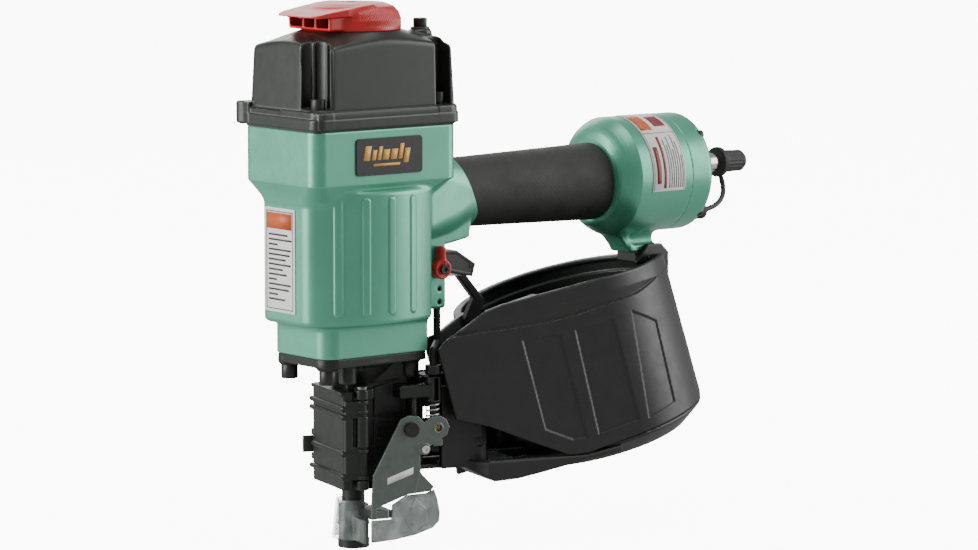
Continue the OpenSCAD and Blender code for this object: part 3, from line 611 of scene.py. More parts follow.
def make_stage():
    world = bpy.data.worlds.new("studio")
    bpy.context.scene.world = world
    world.use_nodes = True
    tree = world.node_tree
    seen = tree.nodes["Background"]
    seen.inputs["Color"].default_value = (1, 1, 1, 1)
    seen.inputs["Strength"].default_value = 15.0
    fill = tree.nodes.new("ShaderNodeBackground")
    fill.inputs["Color"].default_value = (1, 1, 1, 1)
    fill.inputs["Strength"].default_value = 0.36
    choice = tree.nodes.new("ShaderNodeMixShader")
    tree.links.new(tree.nodes.new("ShaderNodeLightPath").outputs["Is Camera Ray"], choice.inputs[0])
    tree.links.new(fill.outputs[0], choice.inputs[1])
    tree.links.new(seen.outputs[0], choice.inputs[2])
    tree.links.new(choice.outputs[0], tree.nodes["World Output"].inputs["Surface"])
    half = 30.0
    below = -0.0005
    mesh = bpy.data.meshes.new("floor")
    corners = [(-half, -half, below), (half, -half, below), (half, half, below), (-half, half, below)]
    mesh.from_pydata(corners, [], [(0, 1, 2, 3)])
    floor = bpy.data.objects.new("floor", mesh)
    bpy.context.scene.collection.objects.link(floor)
    n = Nodes("pale_floor")
    tone = n.blend(n.ranged(n.noise(900, 2), 0.3, 0.7, 0.0, 1.0), rgb(240, 240, 240), rgb(248, 248, 248))
    mesh.materials.append(n.set(Base_Color=tone, Roughness=0.8, Specular_IOR_Level=0.1, Alpha=0.3))
    centre = (0.1, 0, 0.17)
    soft_light("key_left", (-1.8, 0.7, 0.7), centre, (1.5, 1.6), 62)
    soft_light("key_right", (1.75, -1.0, 0.7), centre, (1.4, 1.6), 36)
    soft_light("top", (0.1, -0.2, 2.3), centre, (1.8, 1.4), 26)
    soft_light("behind", (0.9, 1.8, 1.2), centre, (1.6, 1.2), 16)


make_camera()
make_stage()


# ---------------------------------------------------------------- housing

BLOCK_FRONT = HOUSING_LO[0]
BLOCK_REAR = HEAD_HI[0] + 0.5
BLOCK_HALF = 36.5
BLOCK_FOOT = HEAD_TOP - 32
BARREL_FOOT = NOSE_TOP + 19.5
BARREL_FRONT = -50
BARREL_REAR = 36
RIB_X = (-35, -18.7, -1.4, 15.1)
WEB_HALF = 20


def barrel_plan(x, y):
    arcs = [length(x, y - side * 34) - 75 for side in (-1, 1)]
    return common(4, *arcs, BARREL_FRONT - x, x - BARREL_REAR)


def barrel_ribs(x, y, z, plan):
    """Raised lozenges down both sides of the barrel."""
    low, high = BARREL_FOOT + 8.6, BLOCK_FOOT - 10.4
    ribs = []
    for rib_x in RIB_X:
        across = (x - rib_x) / math.sqrt(1 - (rib_x / 75) ** 2)
        ends = z - np.clip(z, low, high)
        ribs.append(edged(length(across, ends) - 2.4, plan - 0.75, 0.55))
    return np.where(np.abs(y) > 8, np.minimum.reduce(ribs), 5)


def housing_block(x, y, z):
    """Upper block, drawn in at its foot towards the barrel."""
    t = np.clip((BLOCK_FOOT - z) / 10, 0, 1.3)
    lo = (BLOCK_FRONT + 4 * t, -BLOCK_HALF + 5 * t)
    hi = (BLOCK_REAR - 14 * t, BLOCK_HALF - 5 * t)
    return 0.75 * edged(rectangle(x, y, lo, hi, 8 + 6 * t), between(z, BLOCK_FOOT - 12, HEAD_TOP), 0.8)


def flange_plan(x, y, inset=0.0):
    sides = common(2, np.abs(y) - 28, -40.6 - x, x - 35.4)
    corner = (-x + np.abs(y) - 62.6) / math.sqrt(2)
    return common(3, sides, corner) + inset


def handle_neck(x, y, z):
    half = np.interp(x, (34, 70, 80), (29, 23.6, 22.6))
    low = np.interp(x, (34, 60, 80), (184, 184, 185.6))
    high = np.interp(x, (34, 70, 80), (233, 232, 231.4))
    corner = np.interp(x, (34, 60, 76), (9, 16, 21.4))
    end = x + 0.42 * np.maximum(z - 197, 0) + 0.25 * np.maximum(192 - z, 0)
    return 0.9 * edged(rectangle(y, z, (-half, low), (half, high), corner), between(end, 30, 79.4), 1.2)


def rear_web(p):
    """Plate behind the barrel that carries the trigger, with the corner under the neck."""
    side = plate(p, [(22, 143.6), (53, 143.6), (53, 182), (57, 182), (71.6, 184.6), (72.6, 192), (68, 213),
                     (22, 213)], -WEB_HALF, WEB_HALF, 1.6, 1, 2.0)
    groove = box(p, (36.4, -60, 130), (38.2, 60, 206), 0.4)
    outer = np.abs(p[:, 1]) > WEB_HALF - 1.2
    return np.where(outer, np.maximum(side, -groove), side)


def plenum_profile(front, rear, radius):
    """Handle's flared tank from the grip's rear to the end cap, as (x, radius)."""
    shoulder = 16.5
    neck = 21
    sweep = math.radians(72)
    arc = [(front + shoulder * (1 - math.cos(a)), neck + (radius - neck) * math.sin(a) / math.sin(sweep))
           for a in np.linspace(0, sweep, 9)]
    step = arc[-1][0] + 0.5
    return [(front, 0), *arc, (step, radius), (rear, radius), (rear, 0)]


def magazine_arm(p):
    """Bracket under the tank: a thin web with a thicker front edge, and a wing along its top."""
    web = plate(p, [(195, 196), (199, 182), (213, 164.3), (230, 164.3), (228, 182), (227, 196)],
                -6, 6, 1, 1)
    front = plate(p, [(186, 192), (193, 182), (208.4, 163.3), (214, 163.3), (200, 182), (196, 192)],
                  -9, 9, 1, 1)
    foot = box(p, (208.5, -9, 163.3), (231, 9, 167), 1)
    wing = bar(p * np.array([1, 0.45, 1]), (184, 0, 184.6), (212, 0, 177.6), 4.2)
    wing = np.maximum(wing, np.abs(p[:, 1]) - 17)
    return join(3, web, front, foot, wing)


def housing(p):
    x, y, z = p.T
    plan = barrel_plan(x, y)
    barrel = edged(plan, between(z, BARREL_FOOT, BLOCK_FOOT - 4), 3)
    flange = edged(flange_plan(x, y), between(z, NOSE_TOP, BARREL_FOOT + 4), 0.6)
    body = join(3.5, barrel, flange)
    body = join(2.5, body, housing_block(x, y, z))
    body = join(0.5, body, barrel_ribs(x, y, z, plan))
    body = join(3, body, handle_neck(x, y, z))
    body = join(1.5, body, rear_web(p))
    tank = turned(p, plenum_profile(184, END_LO[0] - 0.6, PLENUM_R - 0.4), PLENUM_Z, 0.4)
    tank = join(5, tank, magazine_arm(p))
    core = rod(p, (60, 0, GRIP_Z), (190, 0, GRIP_Z), 16.3)
    body = join(0, body, core, tank)
    radius = length(x, y)
    bore = np.minimum.reduce([
        np.maximum(radius - 33, 142 - z), edged(radius - 23, between(z, 124, 146), 0), radius - 10])
    bore = np.maximum(bore, -between(z, 90, 100))
    passage = rod(p, (20, 0, GRIP_Z), (210, 0, GRIP_Z), 11)
    chamber = rod(p, (199, 0, PLENUM_Z), (240, 0, PLENUM_Z), 31)
    slot = box(p, (41, -9, 130), (75, 9, 180.6), 0.5)
    valve = upright(p, PLUNGER_X, 0, 170, 198, 6)
    shaft = crosswise(p, PIVOT[0], PIVOT[2], -60, 60, 3)
    holes = [crosswise(p, ROLL_PIN_X, h, -60, 60, 1.5) for h in ROLL_PIN_Z]
    holes += [upright(p, bx, by, 100, 134, 2.5) for bx, by in NOSE_BOLTS]
    return cut(0.4, body, bore, passage, chamber, slot, valve, shaft, *holes)


def centres(node, axis=2):
    """Middle of each separate solid in a CAD node, across the given axis."""
    flat = [i for i in range(3) if i != axis]
    groups = []
    for q in vertices(node)[:, flat]:
        for group in groups:
            if np.abs(np.mean(group, 0) - q).max() < 9:
                group.append(q)
                break
        else:
            groups.append([q])
    return [tuple((np.max(g, 0) + np.min(g, 0)) / 2) for g in groups]


PLUNGER_LO, PLUNGER_HI = cad("valve_plunger")
PLUNGER_X = (PLUNGER_LO[0] + PLUNGER_HI[0]) / 2
PIN_LO, PIN_HI = cad("roll_pins")
ROLL_PIN_X = (PIN_LO[0] + PIN_HI[0]) / 2
ROLL_PIN_Z = (PIN_LO[2] + 1.5, PIN_HI[2] - 1.5)
NOSE_BOLTS = centres("nose_bolts")
CAP_BOLTS = centres("cap_bolts")

surface("housing_shell", housing, HOUSING_LO, HOUSING_HI, 0.85, GREEN, "tool", ["housing"], "housing_green")


# ---------------------------------------------------------------- cap

WALL_TOP = 300
DISC_Z = CAP_HI[2] - 0.2
PLUG_SPOT = centres("cap_plug")[0]


def roof_height(x, y):
    """Height of the cap's roof: a flat disc, falling to walls whose top edges bow up in their middles."""
    a = np.abs(x + 0.5) / 48.5
    b = np.abs(y) / 35.3
    reach = np.maximum(np.maximum(a, b), 1e-6)
    ratio = np.minimum(a, b) / reach
    rim = WALL_TOP + 0.5 + 5 * (1 - ratio ** 2)
    radius = length(x, y)
    start = 29.5 * reach / np.maximum(radius, 1e-6)
    share = np.clip((reach - start) / np.maximum(1 - start, 0.05), 0, 1.6)
    return DISC_Z - 0.2 - share * (DISC_Z - rim)


def cap_walls(x, y, z, inset=0.0):
    t = (z - HEAD_TOP) / 46
    lo = (-51.3 + 2.3 * t + inset, -36.2 + 1.2 * t + inset)
    hi = (52.4 - 2.2 * t - inset, 36.2 - 1.2 * t - inset)
    return rectangle(x, y, lo, hi, 6)


def corner_notch(p, spot):
    """Room for a cap bolt, up to the roof. The front one on the label side is round and ribbed."""
    bx, by = spot
    x, y, z = p.T
    side = math.copysign(1, by)
    if bx < 0 and by < 0:
        hollow = length(x - bx + 2.0, y - by - 1.5) - 11.2
        ribs = ((-40.2, -34.6), (-37.4, -26.5), (-41.5, -18.6), (-50, -16.2))
        flutes = [length(x - cx, y - cy) - 1.4 for cx, cy in ribs]
        hollow = cut(0.8, hollow, *flutes)
        return np.maximum(hollow, HEAD_TOP + 13 - z)
    hollow = rectangle(x, y * side, (bx - 5.8, abs(by) - 6.5), (bx + 4.9, 60), 3)
    return np.maximum(hollow, HEAD_TOP + 12 - z)


def cap(p):
    x, y, z = p.T
    foot = HEAD_TOP + 1
    rim = edged(rectangle(x, y, (-54, -37.5), (54.2, 37.5), 7), between(z, foot, foot + 6.4), 0.7)
    ledge = edged(rectangle(x, y, (-53, -37), (53.4, 37), 6.5), between(z, foot, foot + 9.7), 0.9)
    walls = cap_walls(x, y, z)
    roof = (z - roof_height(x, y)) * 0.8
    dome = common(2.2, walls, roof, foot - z)
    dome = join(1.6, dome, ledge)
    body = join(0.4, dome, rim)
    border = np.abs(rectangle(x, y, (-51.9, -35.9), (52.6, 35.9), 6.2)) - 0.8
    border = edged(border, between(z, foot, foot + 10.6), 0.5)
    body = join(0.6, body, np.where(y < 0, border, 9))
    boss = box(p, (25, -26, 290), (48, 26, 305.5), 2.5)
    px, py = PLUG_SPOT
    mound = upright(p, px, py, 300, 309.6, 8.4, 1.5, 6.4)
    collar = upright(p, px, py, 300, 310.8, 5.6, 0.5)
    body = join(2.5, body, boss)
    body = join(1.5, body, mound)
    body = join(0.5, body, collar)
    notches = [corner_notch(p, spot) for spot in CAP_BOLTS]
    body = cut(1.2, body, *notches)
    seats = []
    for bx, by in CAP_BOLTS:
        side = math.copysign(1, by)
        stem = upright(p, bx, by, foot, 266, 5.3, 0.7)
        lip = box(p, (bx - 5.3, min(by, side * 37), foot), (bx + 5.3, max(by, side * 37), 265.4), 0.8)
        seats.append(join(0.8, stem, lip))
    body = join(0.8, body, *seats)
    ear = upright(p, -49, 40, foot, foot + 13, 5.6, 1)
    ear = join(1.5, ear, box(p, (-54, 30, foot), (-44, 40, foot + 13), 1))
    body = join(1, body, ear)
    radius = length(x, y)
    valve_bore = np.maximum(radius - 31.2, z - foot - 33)
    ports = [length(x - 15 * math.cos(a), y - 15 * math.sin(a)) - 4.5 for a in np.radians(range(0, 360, 60))]
    ports = [np.maximum(port, 280 - z) for port in ports]
    screw = np.maximum(radius - 2.5, 280 - z)
    fill = np.maximum(length(x - px, y - py) - 3, 298 - z)
    shanks = [np.maximum(length(x - bx, y - by) - 2.5, z - 300) for bx, by in CAP_BOLTS]
    return cut(0.3, body, valve_bore, *ports, screw, fill, *shanks)


surface("cap_shell", cap, CAP_LO, CAP_HI, 0.75, CAP_BLACK, "tool", ["cylinder_cap"], "cap_black")


# ---------------------------------------------------------------- exhaust deflector

DEFLECTOR_LO, DEFLECTOR_HI = cad("exhaust_deflector")
DEFLECTOR_R = DEFLECTOR_HI[0]
KNURLS = 104


def deflector(p):
    """Low dome that runs out forwards into a visor over three mouths; its rear half is knurled."""
    x, y, z = p.T
    z0 = DEFLECTOR_LO[2]
    top = DEFLECTOR_HI[2]
    radius = length(x, y)
    height = top - z0
    rim = DEFLECTOR_R - 0.8
    profile = [(0, z0), (rim, z0), (rim, z0 + 5.6), (rim - 1.4, z0 + 9.4), (rim - 4.4, z0 + 12.6),
               (rim - 9.2, z0 + 14.4), (rim - 17.2, z0 + height - 0.6), (0, z0 + height - 0.6)]
    dome = turned(p, profile, None, 0.6)
    angle = np.arctan2(y, x)
    lean = (z - z0) * 0.028
    wave = np.cos(KNURLS * (angle + lean * np.sign(y)))
    band = np.clip((z - z0 - 1.2) / 1.5, 0, 1) * np.clip((z0 + 13.6 - z) / 2.5, 0, 1)
    band *= np.clip((x + 14) / 2, 0, 1)
    dome = dome + 0.26 * band * (1 - wave)
    rise = np.interp(x, (-42.5, -34, -22, -8, 6), (z0 + 8.6, z0 + 10.6, z0 + 12.4, z0 + 14.4, z0 + 15))
    half = np.interp(x, (-43, -38, -20, 0), (17.5, 20.4, 23.7, 24))
    under = np.interp(x, (-42.5, -30, -20), (z0 + 7.3, z0 + 8.0, z0 + 8.4))
    visor = edged(rectangle(x, y, (-42.3, -half), (0, half), 5), np.maximum(z - rise, under - z), 0.5) * 0.9
    spout = box(p, (-31.5, -20.8, z0), (0, 20.8, z0 + 9.5), 1.2)
    body = join(2.2, dome, join(1.2, visor, spout))
    inside = np.maximum(radius - 25, z - z0 - 8)
    mouths = [box(p, (-60, lo, z0 + 1.6), (0, hi, z0 + 7.9), 0.8)
              for lo, hi in ((-18.8, -7), (-5, 5), (7, 18.8))]
    counterbore = np.maximum(radius - 6.5, z0 + 12 - z)
    return cut(0.5, body, inside, *mouths, radius - 2.6, counterbore)


surface("exhaust_deflector_shell", deflector, DEFLECTOR_LO, DEFLECTOR_HI, 0.5, RED, "deflector",
        ["exhaust_deflector"], "deflector_red")


# ---------------------------------------------------------------- grip and end cap

def grip(p):
    x, y, z = p.T
    radius = length(y, z - GRIP_Z)
    outer = np.interp(x, (80, 180), (GRIP_HI[2] - GRIP_Z - 2.6, GRIP_HI[2] - GRIP_Z))
    nap = 0.1 * np.sin(x * 1.9) * np.sin(np.arctan2(y, z - GRIP_Z) * 38)
    tube = edged(np.maximum(radius - outer - 0.25 * nap, 16.5 - radius), between(x, 60, GRIP_HI[0]), 1.2)
    return np.maximum(tube, 0.35 - handle_neck(x, y, z))


surface("grip_sleeve", grip, GRIP_LO - (26, 0, 0), GRIP_HI, 0.8, RUBBER, "tool", ["grip"], "grip_rubber")

END_BOLTS = centres("end_cap_bolts", 0)
KNOB = cad("dust_cap_tether")[0][1:] + 5.2


def end_cap(p):
    front, rear = END_LO[0], END_HI[0]
    lip = 4
    curve = [(rear - lip * (1 - math.sin(a)), PLENUM_R - lip * (1 - math.cos(a)) - 0.4)
             for a in np.radians((0, 20, 40, 60, 80, 90))]
    profile = [(front, 0), (front, PLENUM_R - 0.4), *curve, (rear, 0)]
    body = turned(p, profile, PLENUM_Z, 0.4)
    hollow = rod(p, (front - 1, 0, PLENUM_Z), (front + 7.4, 0, PLENUM_Z), 29)
    port = rod(p, (front - 2, 0, PLUG_Z), (rear + 4, 0, PLUG_Z), 6.5)
    dish = edged(np.abs(length(p[:, 1], p[:, 2] - PLENUM_Z) - 19) - 6.5, np.abs(p[:, 0] - rear) - 1.0, 0.4)
    sinks = [rod(p, (front + 13.4, y, z), (rear + 3, y, z), 3.3) for y, z in END_BOLTS]
    return cut(0.5, body, hollow, port, dish, *sinks)


surface("end_cap_shell", end_cap, END_LO, END_HI, 0.8, GREEN, "tool", ["end_cap"], "housing_green")


# ---------------------------------------------------------------- thin patches for printed marks

def inlay(name, place, patches, material, bends=1, depth=0.12):
    """Thin rectangles on a plate. place() takes across, up and out, and bends divides each one across."""
    points = []
    faces = []
    for a0, b0, a1, b1 in patches:
        base = len(points)
        for a in np.linspace(a0, a1, bends + 1):
            points += [place(a, b0, 0), place(a, b1, 0), place(a, b1, depth), place(a, b0, depth)]
        for k in range(base, base + 4 * bends, 4):
            faces += [(k + j, k + (j + 1) % 4, k + 4 + (j + 1) % 4, k + 4 + j) for j in range(4)]
        last = base + 4 * bends
        faces += [(base + 3, base + 2, base + 1, base), (last, last + 1, last + 2, last + 3)]
    mesh = mesh_from(name, np.array(points, float), np.array(faces), 4)
    obj = bpy.data.objects.new(name, mesh)
    bpy.context.scene.collection.objects.link(obj)
    return placed(obj, material, "tool", ())


# ---------------------------------------------------------------- canister and its cover

CAN_TOP = 36.5
EAR_FEET = (-34, 0.2)


def can_radius(w):
    return 67 + 2.5 * (CAN_TOP - w) / 85.2


def canister(p):
    """Round pan with a far wall, a flat front wall, a centre post, hinge ears and the channel to the nose."""
    q = MAG.local(p)
    u, v, w = q.T
    n = NOSE.local(p)
    out = length(u, v)
    radius = can_radius(w)
    pan = outline(out, w, [(0, -59.6), (57.8, -59.6), (68.6, -50.8), (68.6, -49.4), (66.4, -49.4),
                           (66.4, -50.4), (56.3, -56.6), (0, -56.6)]) - 0.4
    thick = np.interp(w, (26.6, 27.4), (4.2, 3))
    wall = edged(np.maximum(out - radius, radius - thick - out), between(w, -50.6, CAN_TOP), 0.8)
    rim = edged(np.maximum(out - radius - 1.2, radius - 4.5 - out), between(w, 33.8, CAN_TOP), 0.8)
    far = np.maximum(join(0.8, wall, rim), 0.4 - v)
    front = plate(q, [(-68, 2), (-97.5, -25), (-106, -25), (-106, -28), (-96.4, -28), (-65, -1), (-65, 2)],
                  -46, 42, 0.7, 2)
    post = upright(q, 0, 0, -58, 18, 5, 0.8)
    ears = []
    for low in EAR_FEET:
        ears.append(upright(q, HINGE_U, HINGE_V, low, low + 14, 4, 0.5))
        ears.append(plate(q, [(63, 12), (66, 9), (72, 9), (73.2, 13.2), (64, 22)], low, low + 14, 0.4, 2))
    floor = box(n, (22.3, -14, 46), (100.3, 14.5, 49), 0.5)
    inner = plate(n, [(50.5, -17), (76, -17), (80.5, -15), (82.5, -11.5), (79.4, -10.8), (78.2, -12.8),
                      (75.5, -13.6), (50.5, -13.6)], 46, 96, 0.5, 2, 0.3)
    stud = cut(0.3, crosswise(n, 75, 61, -17.9, -15, 2.7, 0.4),
               crosswise(n, 75, 61, -19, -17.4, 1.3))
    underside = ramp(n[:, 0], (64, 46.6), (80, 37.8), (96, 38.6), (112, 41.4), (140, 46.8), (172, 51.6))
    top = np.interp(n[:, 0], (141, 172), (50.4, 56.2))
    channel = plate(n, [(64, 14.5), (64, -12), (76, -29.3), (165, -29.3), (165, 14.5)], 36, 60, 0.6, 2)
    channel = common(1.2, channel, underside - n[:, 2], n[:, 2] - top)
    hollow = plate(n, [(67, 11.5), (67, -12), (77.5, -26.3), (170, -26.3), (170, 11.5)], 36, 70, 0.4, 2)
    hollow = np.maximum(hollow, underside + 2.8 - n[:, 2])
    channel = cut(0.4, channel, hollow, np.maximum(out - 66, -57 - w))
    stay = plate(p, [(92.5, 118), (98.5, 118), (107.5, 136), (107.5, 140.5), (72, 180.5), (65, 181.4),
                     (99.5, 141), (92.5, 128)], 9.8, 13.8, 0.5)
    saddle = np.minimum(box(p, (213, -9, 156), (236, 9, 163), 0.8),
                        box(p, (225.2, -9, 146), (236, 9, 163), 0.8))
    cheek = plate(p, [(211, 157), (220, 167.5), (231, 167.5), (237, 162), (237, 146), (226, 146)],
                  -13, -9.3, 0.5)
    body = join(1.2, pan, far, front, post)
    body = join(0.8, body, *ears, floor, channel, join(0.4, inner, stud))
    body = join(0.8, body, stay, np.minimum(saddle, cheek))
    pin = upright(q, HINGE_U, HINGE_V, -80, 80, 2.02)
    bolt = upright(p, 226, 0, 140, 190, 2.5)
    head = upright(p, 226, 0, 120, 146, 5)
    return cut(0.3, body, pin, bolt, head)


COVER_PANELS = [[(-60, 31), (-35, 26), (-35, -39), (-44, -38), (-60, -26)],
                [(-25, 26), (1, 24), (1, -40), (-27, -40)],
                [(15, 25), (33, 12.5), (31, -39), (8, -41)]]


def cover(p):
    """Swinging wall: a flat front that runs into a half round, with sunk panels under a lip."""
    q = MAG.local(p)
    u, v, w = q.T
    radius = can_radius(w)
    out = np.where(u > 0, length(u, v), np.abs(v))
    s = np.where(u > 0, radius * np.arctan2(u, -v), u)
    top = ramp(s, (-115, 41), (-107, 46), (-90, 51), (-78, 55), (-67, 55.6), (0, 51), (30, 48), (43, 47.2),
               (63, 45), (74, 43), (106, 37.5))
    low = ramp(s, (-113, -2), (-94, -13), (-70, -31), (-49, -46), (-37, -48.7))
    lip_top = ramp(s, (-104, 48.6), (-82, 50.4), (-69, 49.4), (-54, 47), (-37, 44.9), (-19, 43.4),
                   (-1, 42.3), (29, 39.5), (46, 36.5))
    lip_foot = ramp(s, (-104, 46.9), (-86, 44.5), (-71, 41.3), (-56, 38.7), (-40, 36.1), (-22, 34.7),
                    (10, 34.2), (24, 33.9), (46, 36.3))
    fall = np.clip((lip_top - w) / np.maximum(lip_top - lip_foot, 0.2), 0, 1)
    foot = np.clip((w - lip_foot) / 0.8 + 0.5, 0, 1)
    depth = 1.6 * fall * foot
    for points in COVER_PANELS:
        depth = depth + 0.8 * np.clip(0.5 - outline(s, w, points) / 1.1, 0, 1)
    skin = common(0.8, out - radius + depth, radius - 3.3 - out, w - top, low - w, -114 - s, v + 0.4)
    ledge = box(q, (-76, -65.5, 51.6), (-42, -57.5, 53.8), 0.6)
    strap = plate(q, [(66.2, -7), (70.5, -7), (76.6, 7), (76.6, 9.5), (70.3, 9.5), (69.6, 3), (69.4, -0.3),
                      (66.2, -0.3)], -19.7, -0.1, 0.3, 2)
    knuckle = upright(q, HINGE_U, HINGE_V, -19.7, -0.1, 4, 0.4)
    body = join(1, skin, ledge)
    body = join(0.6, body, np.minimum(strap, knuckle))
    return np.maximum(body, -upright(q, HINGE_U, HINGE_V, -80, 80, 2.08))


surface("canister_pan", canister, *cad("canister"), 0.9, CANISTER, "tool", ["canister"], "canister_black")
surface("canister_cover_wall", cover, *cad("canister_cover"), 0.75, CANISTER, "canister_cover",
        ["canister_cover"], "canister_black")


# ---------------------------------------------------------------- nose and its door

ROD_U, ROD_V = 43, -21
DOOR_U, DOOR_V = -4, -23
LATCH_BAND_Z = 60.4
BAND_Z = (46.9, LATCH_BAND_Z, 82.4, 87.4)


def nose(p):
    """Nose casting: flange, cone, driver guide, track plates and the contact rod's guide tube."""
    x, y, z = p.T
    q = NOSE.local(p)
    flange = edged(flange_plan(x, y, 0.8), between(z, NOSE_TOP - 5.5, NOSE_TOP), 0.7)
    bosses = [upright(p, bx, by, NOSE_TOP - 7.2, NOSE_TOP - 3, 5.9, 0.6) for bx, by in NOSE_BOLTS]
    cone = upright(p, 0, 0, 98.5, NOSE_TOP - 4.6, 12, 0.6, 26)
    knob = upright(q, -11.5, -19, 101.5, 114, 5.2, 0.8)
    guide = upright(p, 0, 0, 13, 43, 7, 0.3)
    block = box(q, (-9, -12, 38), (22, 12, 106), 1.4)
    near = box(q, (10, -12, 49.3), (40, -9.5, 102.5), 0.8)
    upper = plate(q, [(8, 80.5), (29.9, 83), (29.9, 102), (8, 97.6)], -13.2, -10, 0.6)
    lower = plate(q, [(8, 50), (26, 52), (26, 77), (8, 77.5)], -12.9, -10, 0.6)
    far = box(q, (10, 9.5, 49.3), (62, 12, 102.5), 0.8)
    arm = box(q, (20, -25, 91), (44, -11, 99), 1.6)
    web = box(q, (28, -24, 78), (31, -11, 98), 1.0)
    washer = upright(q, ROD_U, ROD_V, 103.6, 105, 9.6, 0.4)
    tube = upright(q, ROD_U, ROD_V, 88, 110, 4.9, 0.5)
    eyes = [upright(q, DOOR_U, DOOR_V, low, low + 5.7, 4, 0.5) for low in (38, 92.3)]
    lugs = [box(q, (DOOR_U, -22, low), (DOOR_U + 8, -10, low + 5.7), 0.5) for low in (38, 92.3)]
    saddle = box(q, (6, -13, 100), (38, 12, NOSE_TOP - 4), 2)
    shelf = cut(0.3, box(q, (37, -14, 56), (50.2, -11.6, 102), 0.4), upright(q, ROD_U, ROD_V, 56, 84, 9.2))
    body = join(2.5, flange, cone, *bosses)
    body = join(1.2, body, knob, block, guide, saddle)
    body = join(0.8, body, shelf)
    body = join(0.8, body, near, upper, lower, far, join(1.5, arm, web, tube), washer)
    body = join(0.8, body, *eyes, *lugs)
    holes = [upright(p, bx, by, 100, 130, 2.5) for bx, by in NOSE_BOLTS]
    holes.append(upright(p, 0, 0, 5, 125, 3.84))
    holes.append(box(q, (0, -4, 16), (40, 4, 96), 0.3))
    holes.append(upright(q, ROD_U, ROD_V, 70, 125, 2.35))
    holes.append(box(q, (ROD_U - 1.6, -40, 89), (ROD_U + 1.6, ROD_V, 102.6), 0.8))
    holes.append(upright(q, DOOR_U, DOOR_V, 30, 112, 1.62))
    holes.append(box(q, (30, 8, 73), (58, 18, 88), 0.3))
    holes.append(box(q, (10.2, -20, 66.8), (12.8, -11, 73), 0.3))
    holes.append(box(q, (-30, 23.6, 0), (90, 60, 112.5)))
    return cut(0.3, body, *holes)


def nail_door(p):
    """Door over the nail track: a plate with four rounded bands that run on round its side to the hinge."""
    q = NOSE.local(p)
    leaf = box(q, (-16.5, -23.4, 38), (-9.3, 24, 97.2), 1.6)
    leaf = cut(0.5, leaf, plate(q, [(-30, 90), (-13, 90), (-13, 120), (-30, 120)], 30, 40))
    side = box(q, (-15.4, -25, 44.3), (-4, -21.4, 91.7), 0.7)
    side = cut(0.4, side, box(q, (-10.8, -40, 64.2), (2, -23, 82.4), 0.5))
    bands = []
    for z in BAND_Z:
        end = 22.5 if z == LATCH_BAND_Z else 25.2
        across = bar(q, (-16.5, -22.4, z), (-16.5, end, z), 1.5)
        round_side = bar(q, (-16.3, -23.6, z), (-5, -24, z), 1.45)
        bands.append(join(0.8, across, round_side))
    knuckle = upright(q, DOOR_U, DOOR_V, 63.8, 82.4, 4, 0.5)
    slim = upright(q, DOOR_U, DOOR_V, 44.3, 91.7, 2.9, 0.5)
    collars = [upright(q, DOOR_U, DOOR_V, low, low + 2.2, 3.9, 0.4) for low in (44.3, 60.4, 84, 89.5)]
    ears = [box(q, (-15.5, 23.5, low), (-9.5, 29, low + 4), 0.7) for low in (50, 64.6)]
    top = box(q, (-17.6, -23, 94.8), (-9.4, 24, 97), 0.7)
    body = join(0.8, leaf, side, top)
    body = join(0.6, body, *bands, *ears)
    body = join(0.4, body, knuckle, slim, *collars)
    hinge = upright(q, DOOR_U, DOOR_V, 30, 112, 1.68)
    latch = upright(q, -12.5, 27, 45, 85, 1.02)
    return cut(0.2, body, hinge, latch)


surface("nose_casting", nose, *cad("nose"), 0.6, NOSE_DARK, "tool", ["nose"], "nose_dark")
surface("nail_door_leaf", nail_door, *cad("nail_door"), 0.5, NOSE_DARK, "nail_door", ["nail_door"],
        "nose_dark")


# ---------------------------------------------------------------- contact arm and guards

PLATE_V = local_box("contact_plate", NOSE)[0][1]
PLATE_T = 2
FOOT_R = local_box("contact_foot", NOSE)[1][1]
EYE = (42.6, 73)
BUTTON = (24.9, 73.2)
SLOT = (33.8, 60.9)


def contact_plate(p):
    """Flat arm with an eye, a lug to the rod and a shallow step along its lower corner."""
    q = NOSE.local(p)
    u, v, w = q.T
    shape = [(-0.2, 21.2), (1.8, 21.2), (1.8, 27.8), (22.4, 34.9), (37.4, 36), (39.3, 37.8), (30.6, 46.6),
             (30, 57.8), (34.8, 61.8), (47.8, 69), (49.3, 73.4), (47.2, 77.8), (43.5, 79.9), (38.5, 79.2),
             (33.4, 76.2), (29.5, 80.2), (23.6, 81), (19, 79.2), (1.2, 46.8)]
    leaf = edged(outline(u, w, shape) - 0.7, between(v, PLATE_V, PLATE_V + PLATE_T), 0.35)
    crease = outline(u, w, [(30.5, 46.5), (28, 36), (50, 36), (50, 46.5)])
    leaf = leaf + 0.35 * np.clip(0.5 - crease / 1.2, 0, 1) * np.clip(PLATE_V + 1.2 - v, 0, 1)
    tab = box(q, (1, PLATE_V + 1.4, 20.5), (11, PLATE_V + PLATE_T + 0.02, 25.6), 0.1)
    lug = box(q, (ROD_U - 3, PLATE_V + 1.4, 62), (ROD_U + 3, PLATE_V + 11.4, 66), 0.4)
    eye = crosswise(q, EYE[0], EYE[1], PLATE_V - 0.4, PLATE_V + 1, 3.3, 0.35)
    seat = crosswise(q, SLOT[0], SLOT[1], PLATE_V - 0.35, PLATE_V + 1, 3.6, 0.3)
    body = join(0.3, leaf, tab, lug, eye, seat)
    holes = [crosswise(q, a, b, -60, 0, r) for (a, b), r in ((EYE, 2.1), (BUTTON, 2.52), (SLOT, 1.52))]
    holes.append(upright(q, ROD_U, ROD_V, 60, 70, 2.22))
    return cut(0.25, body, *holes)


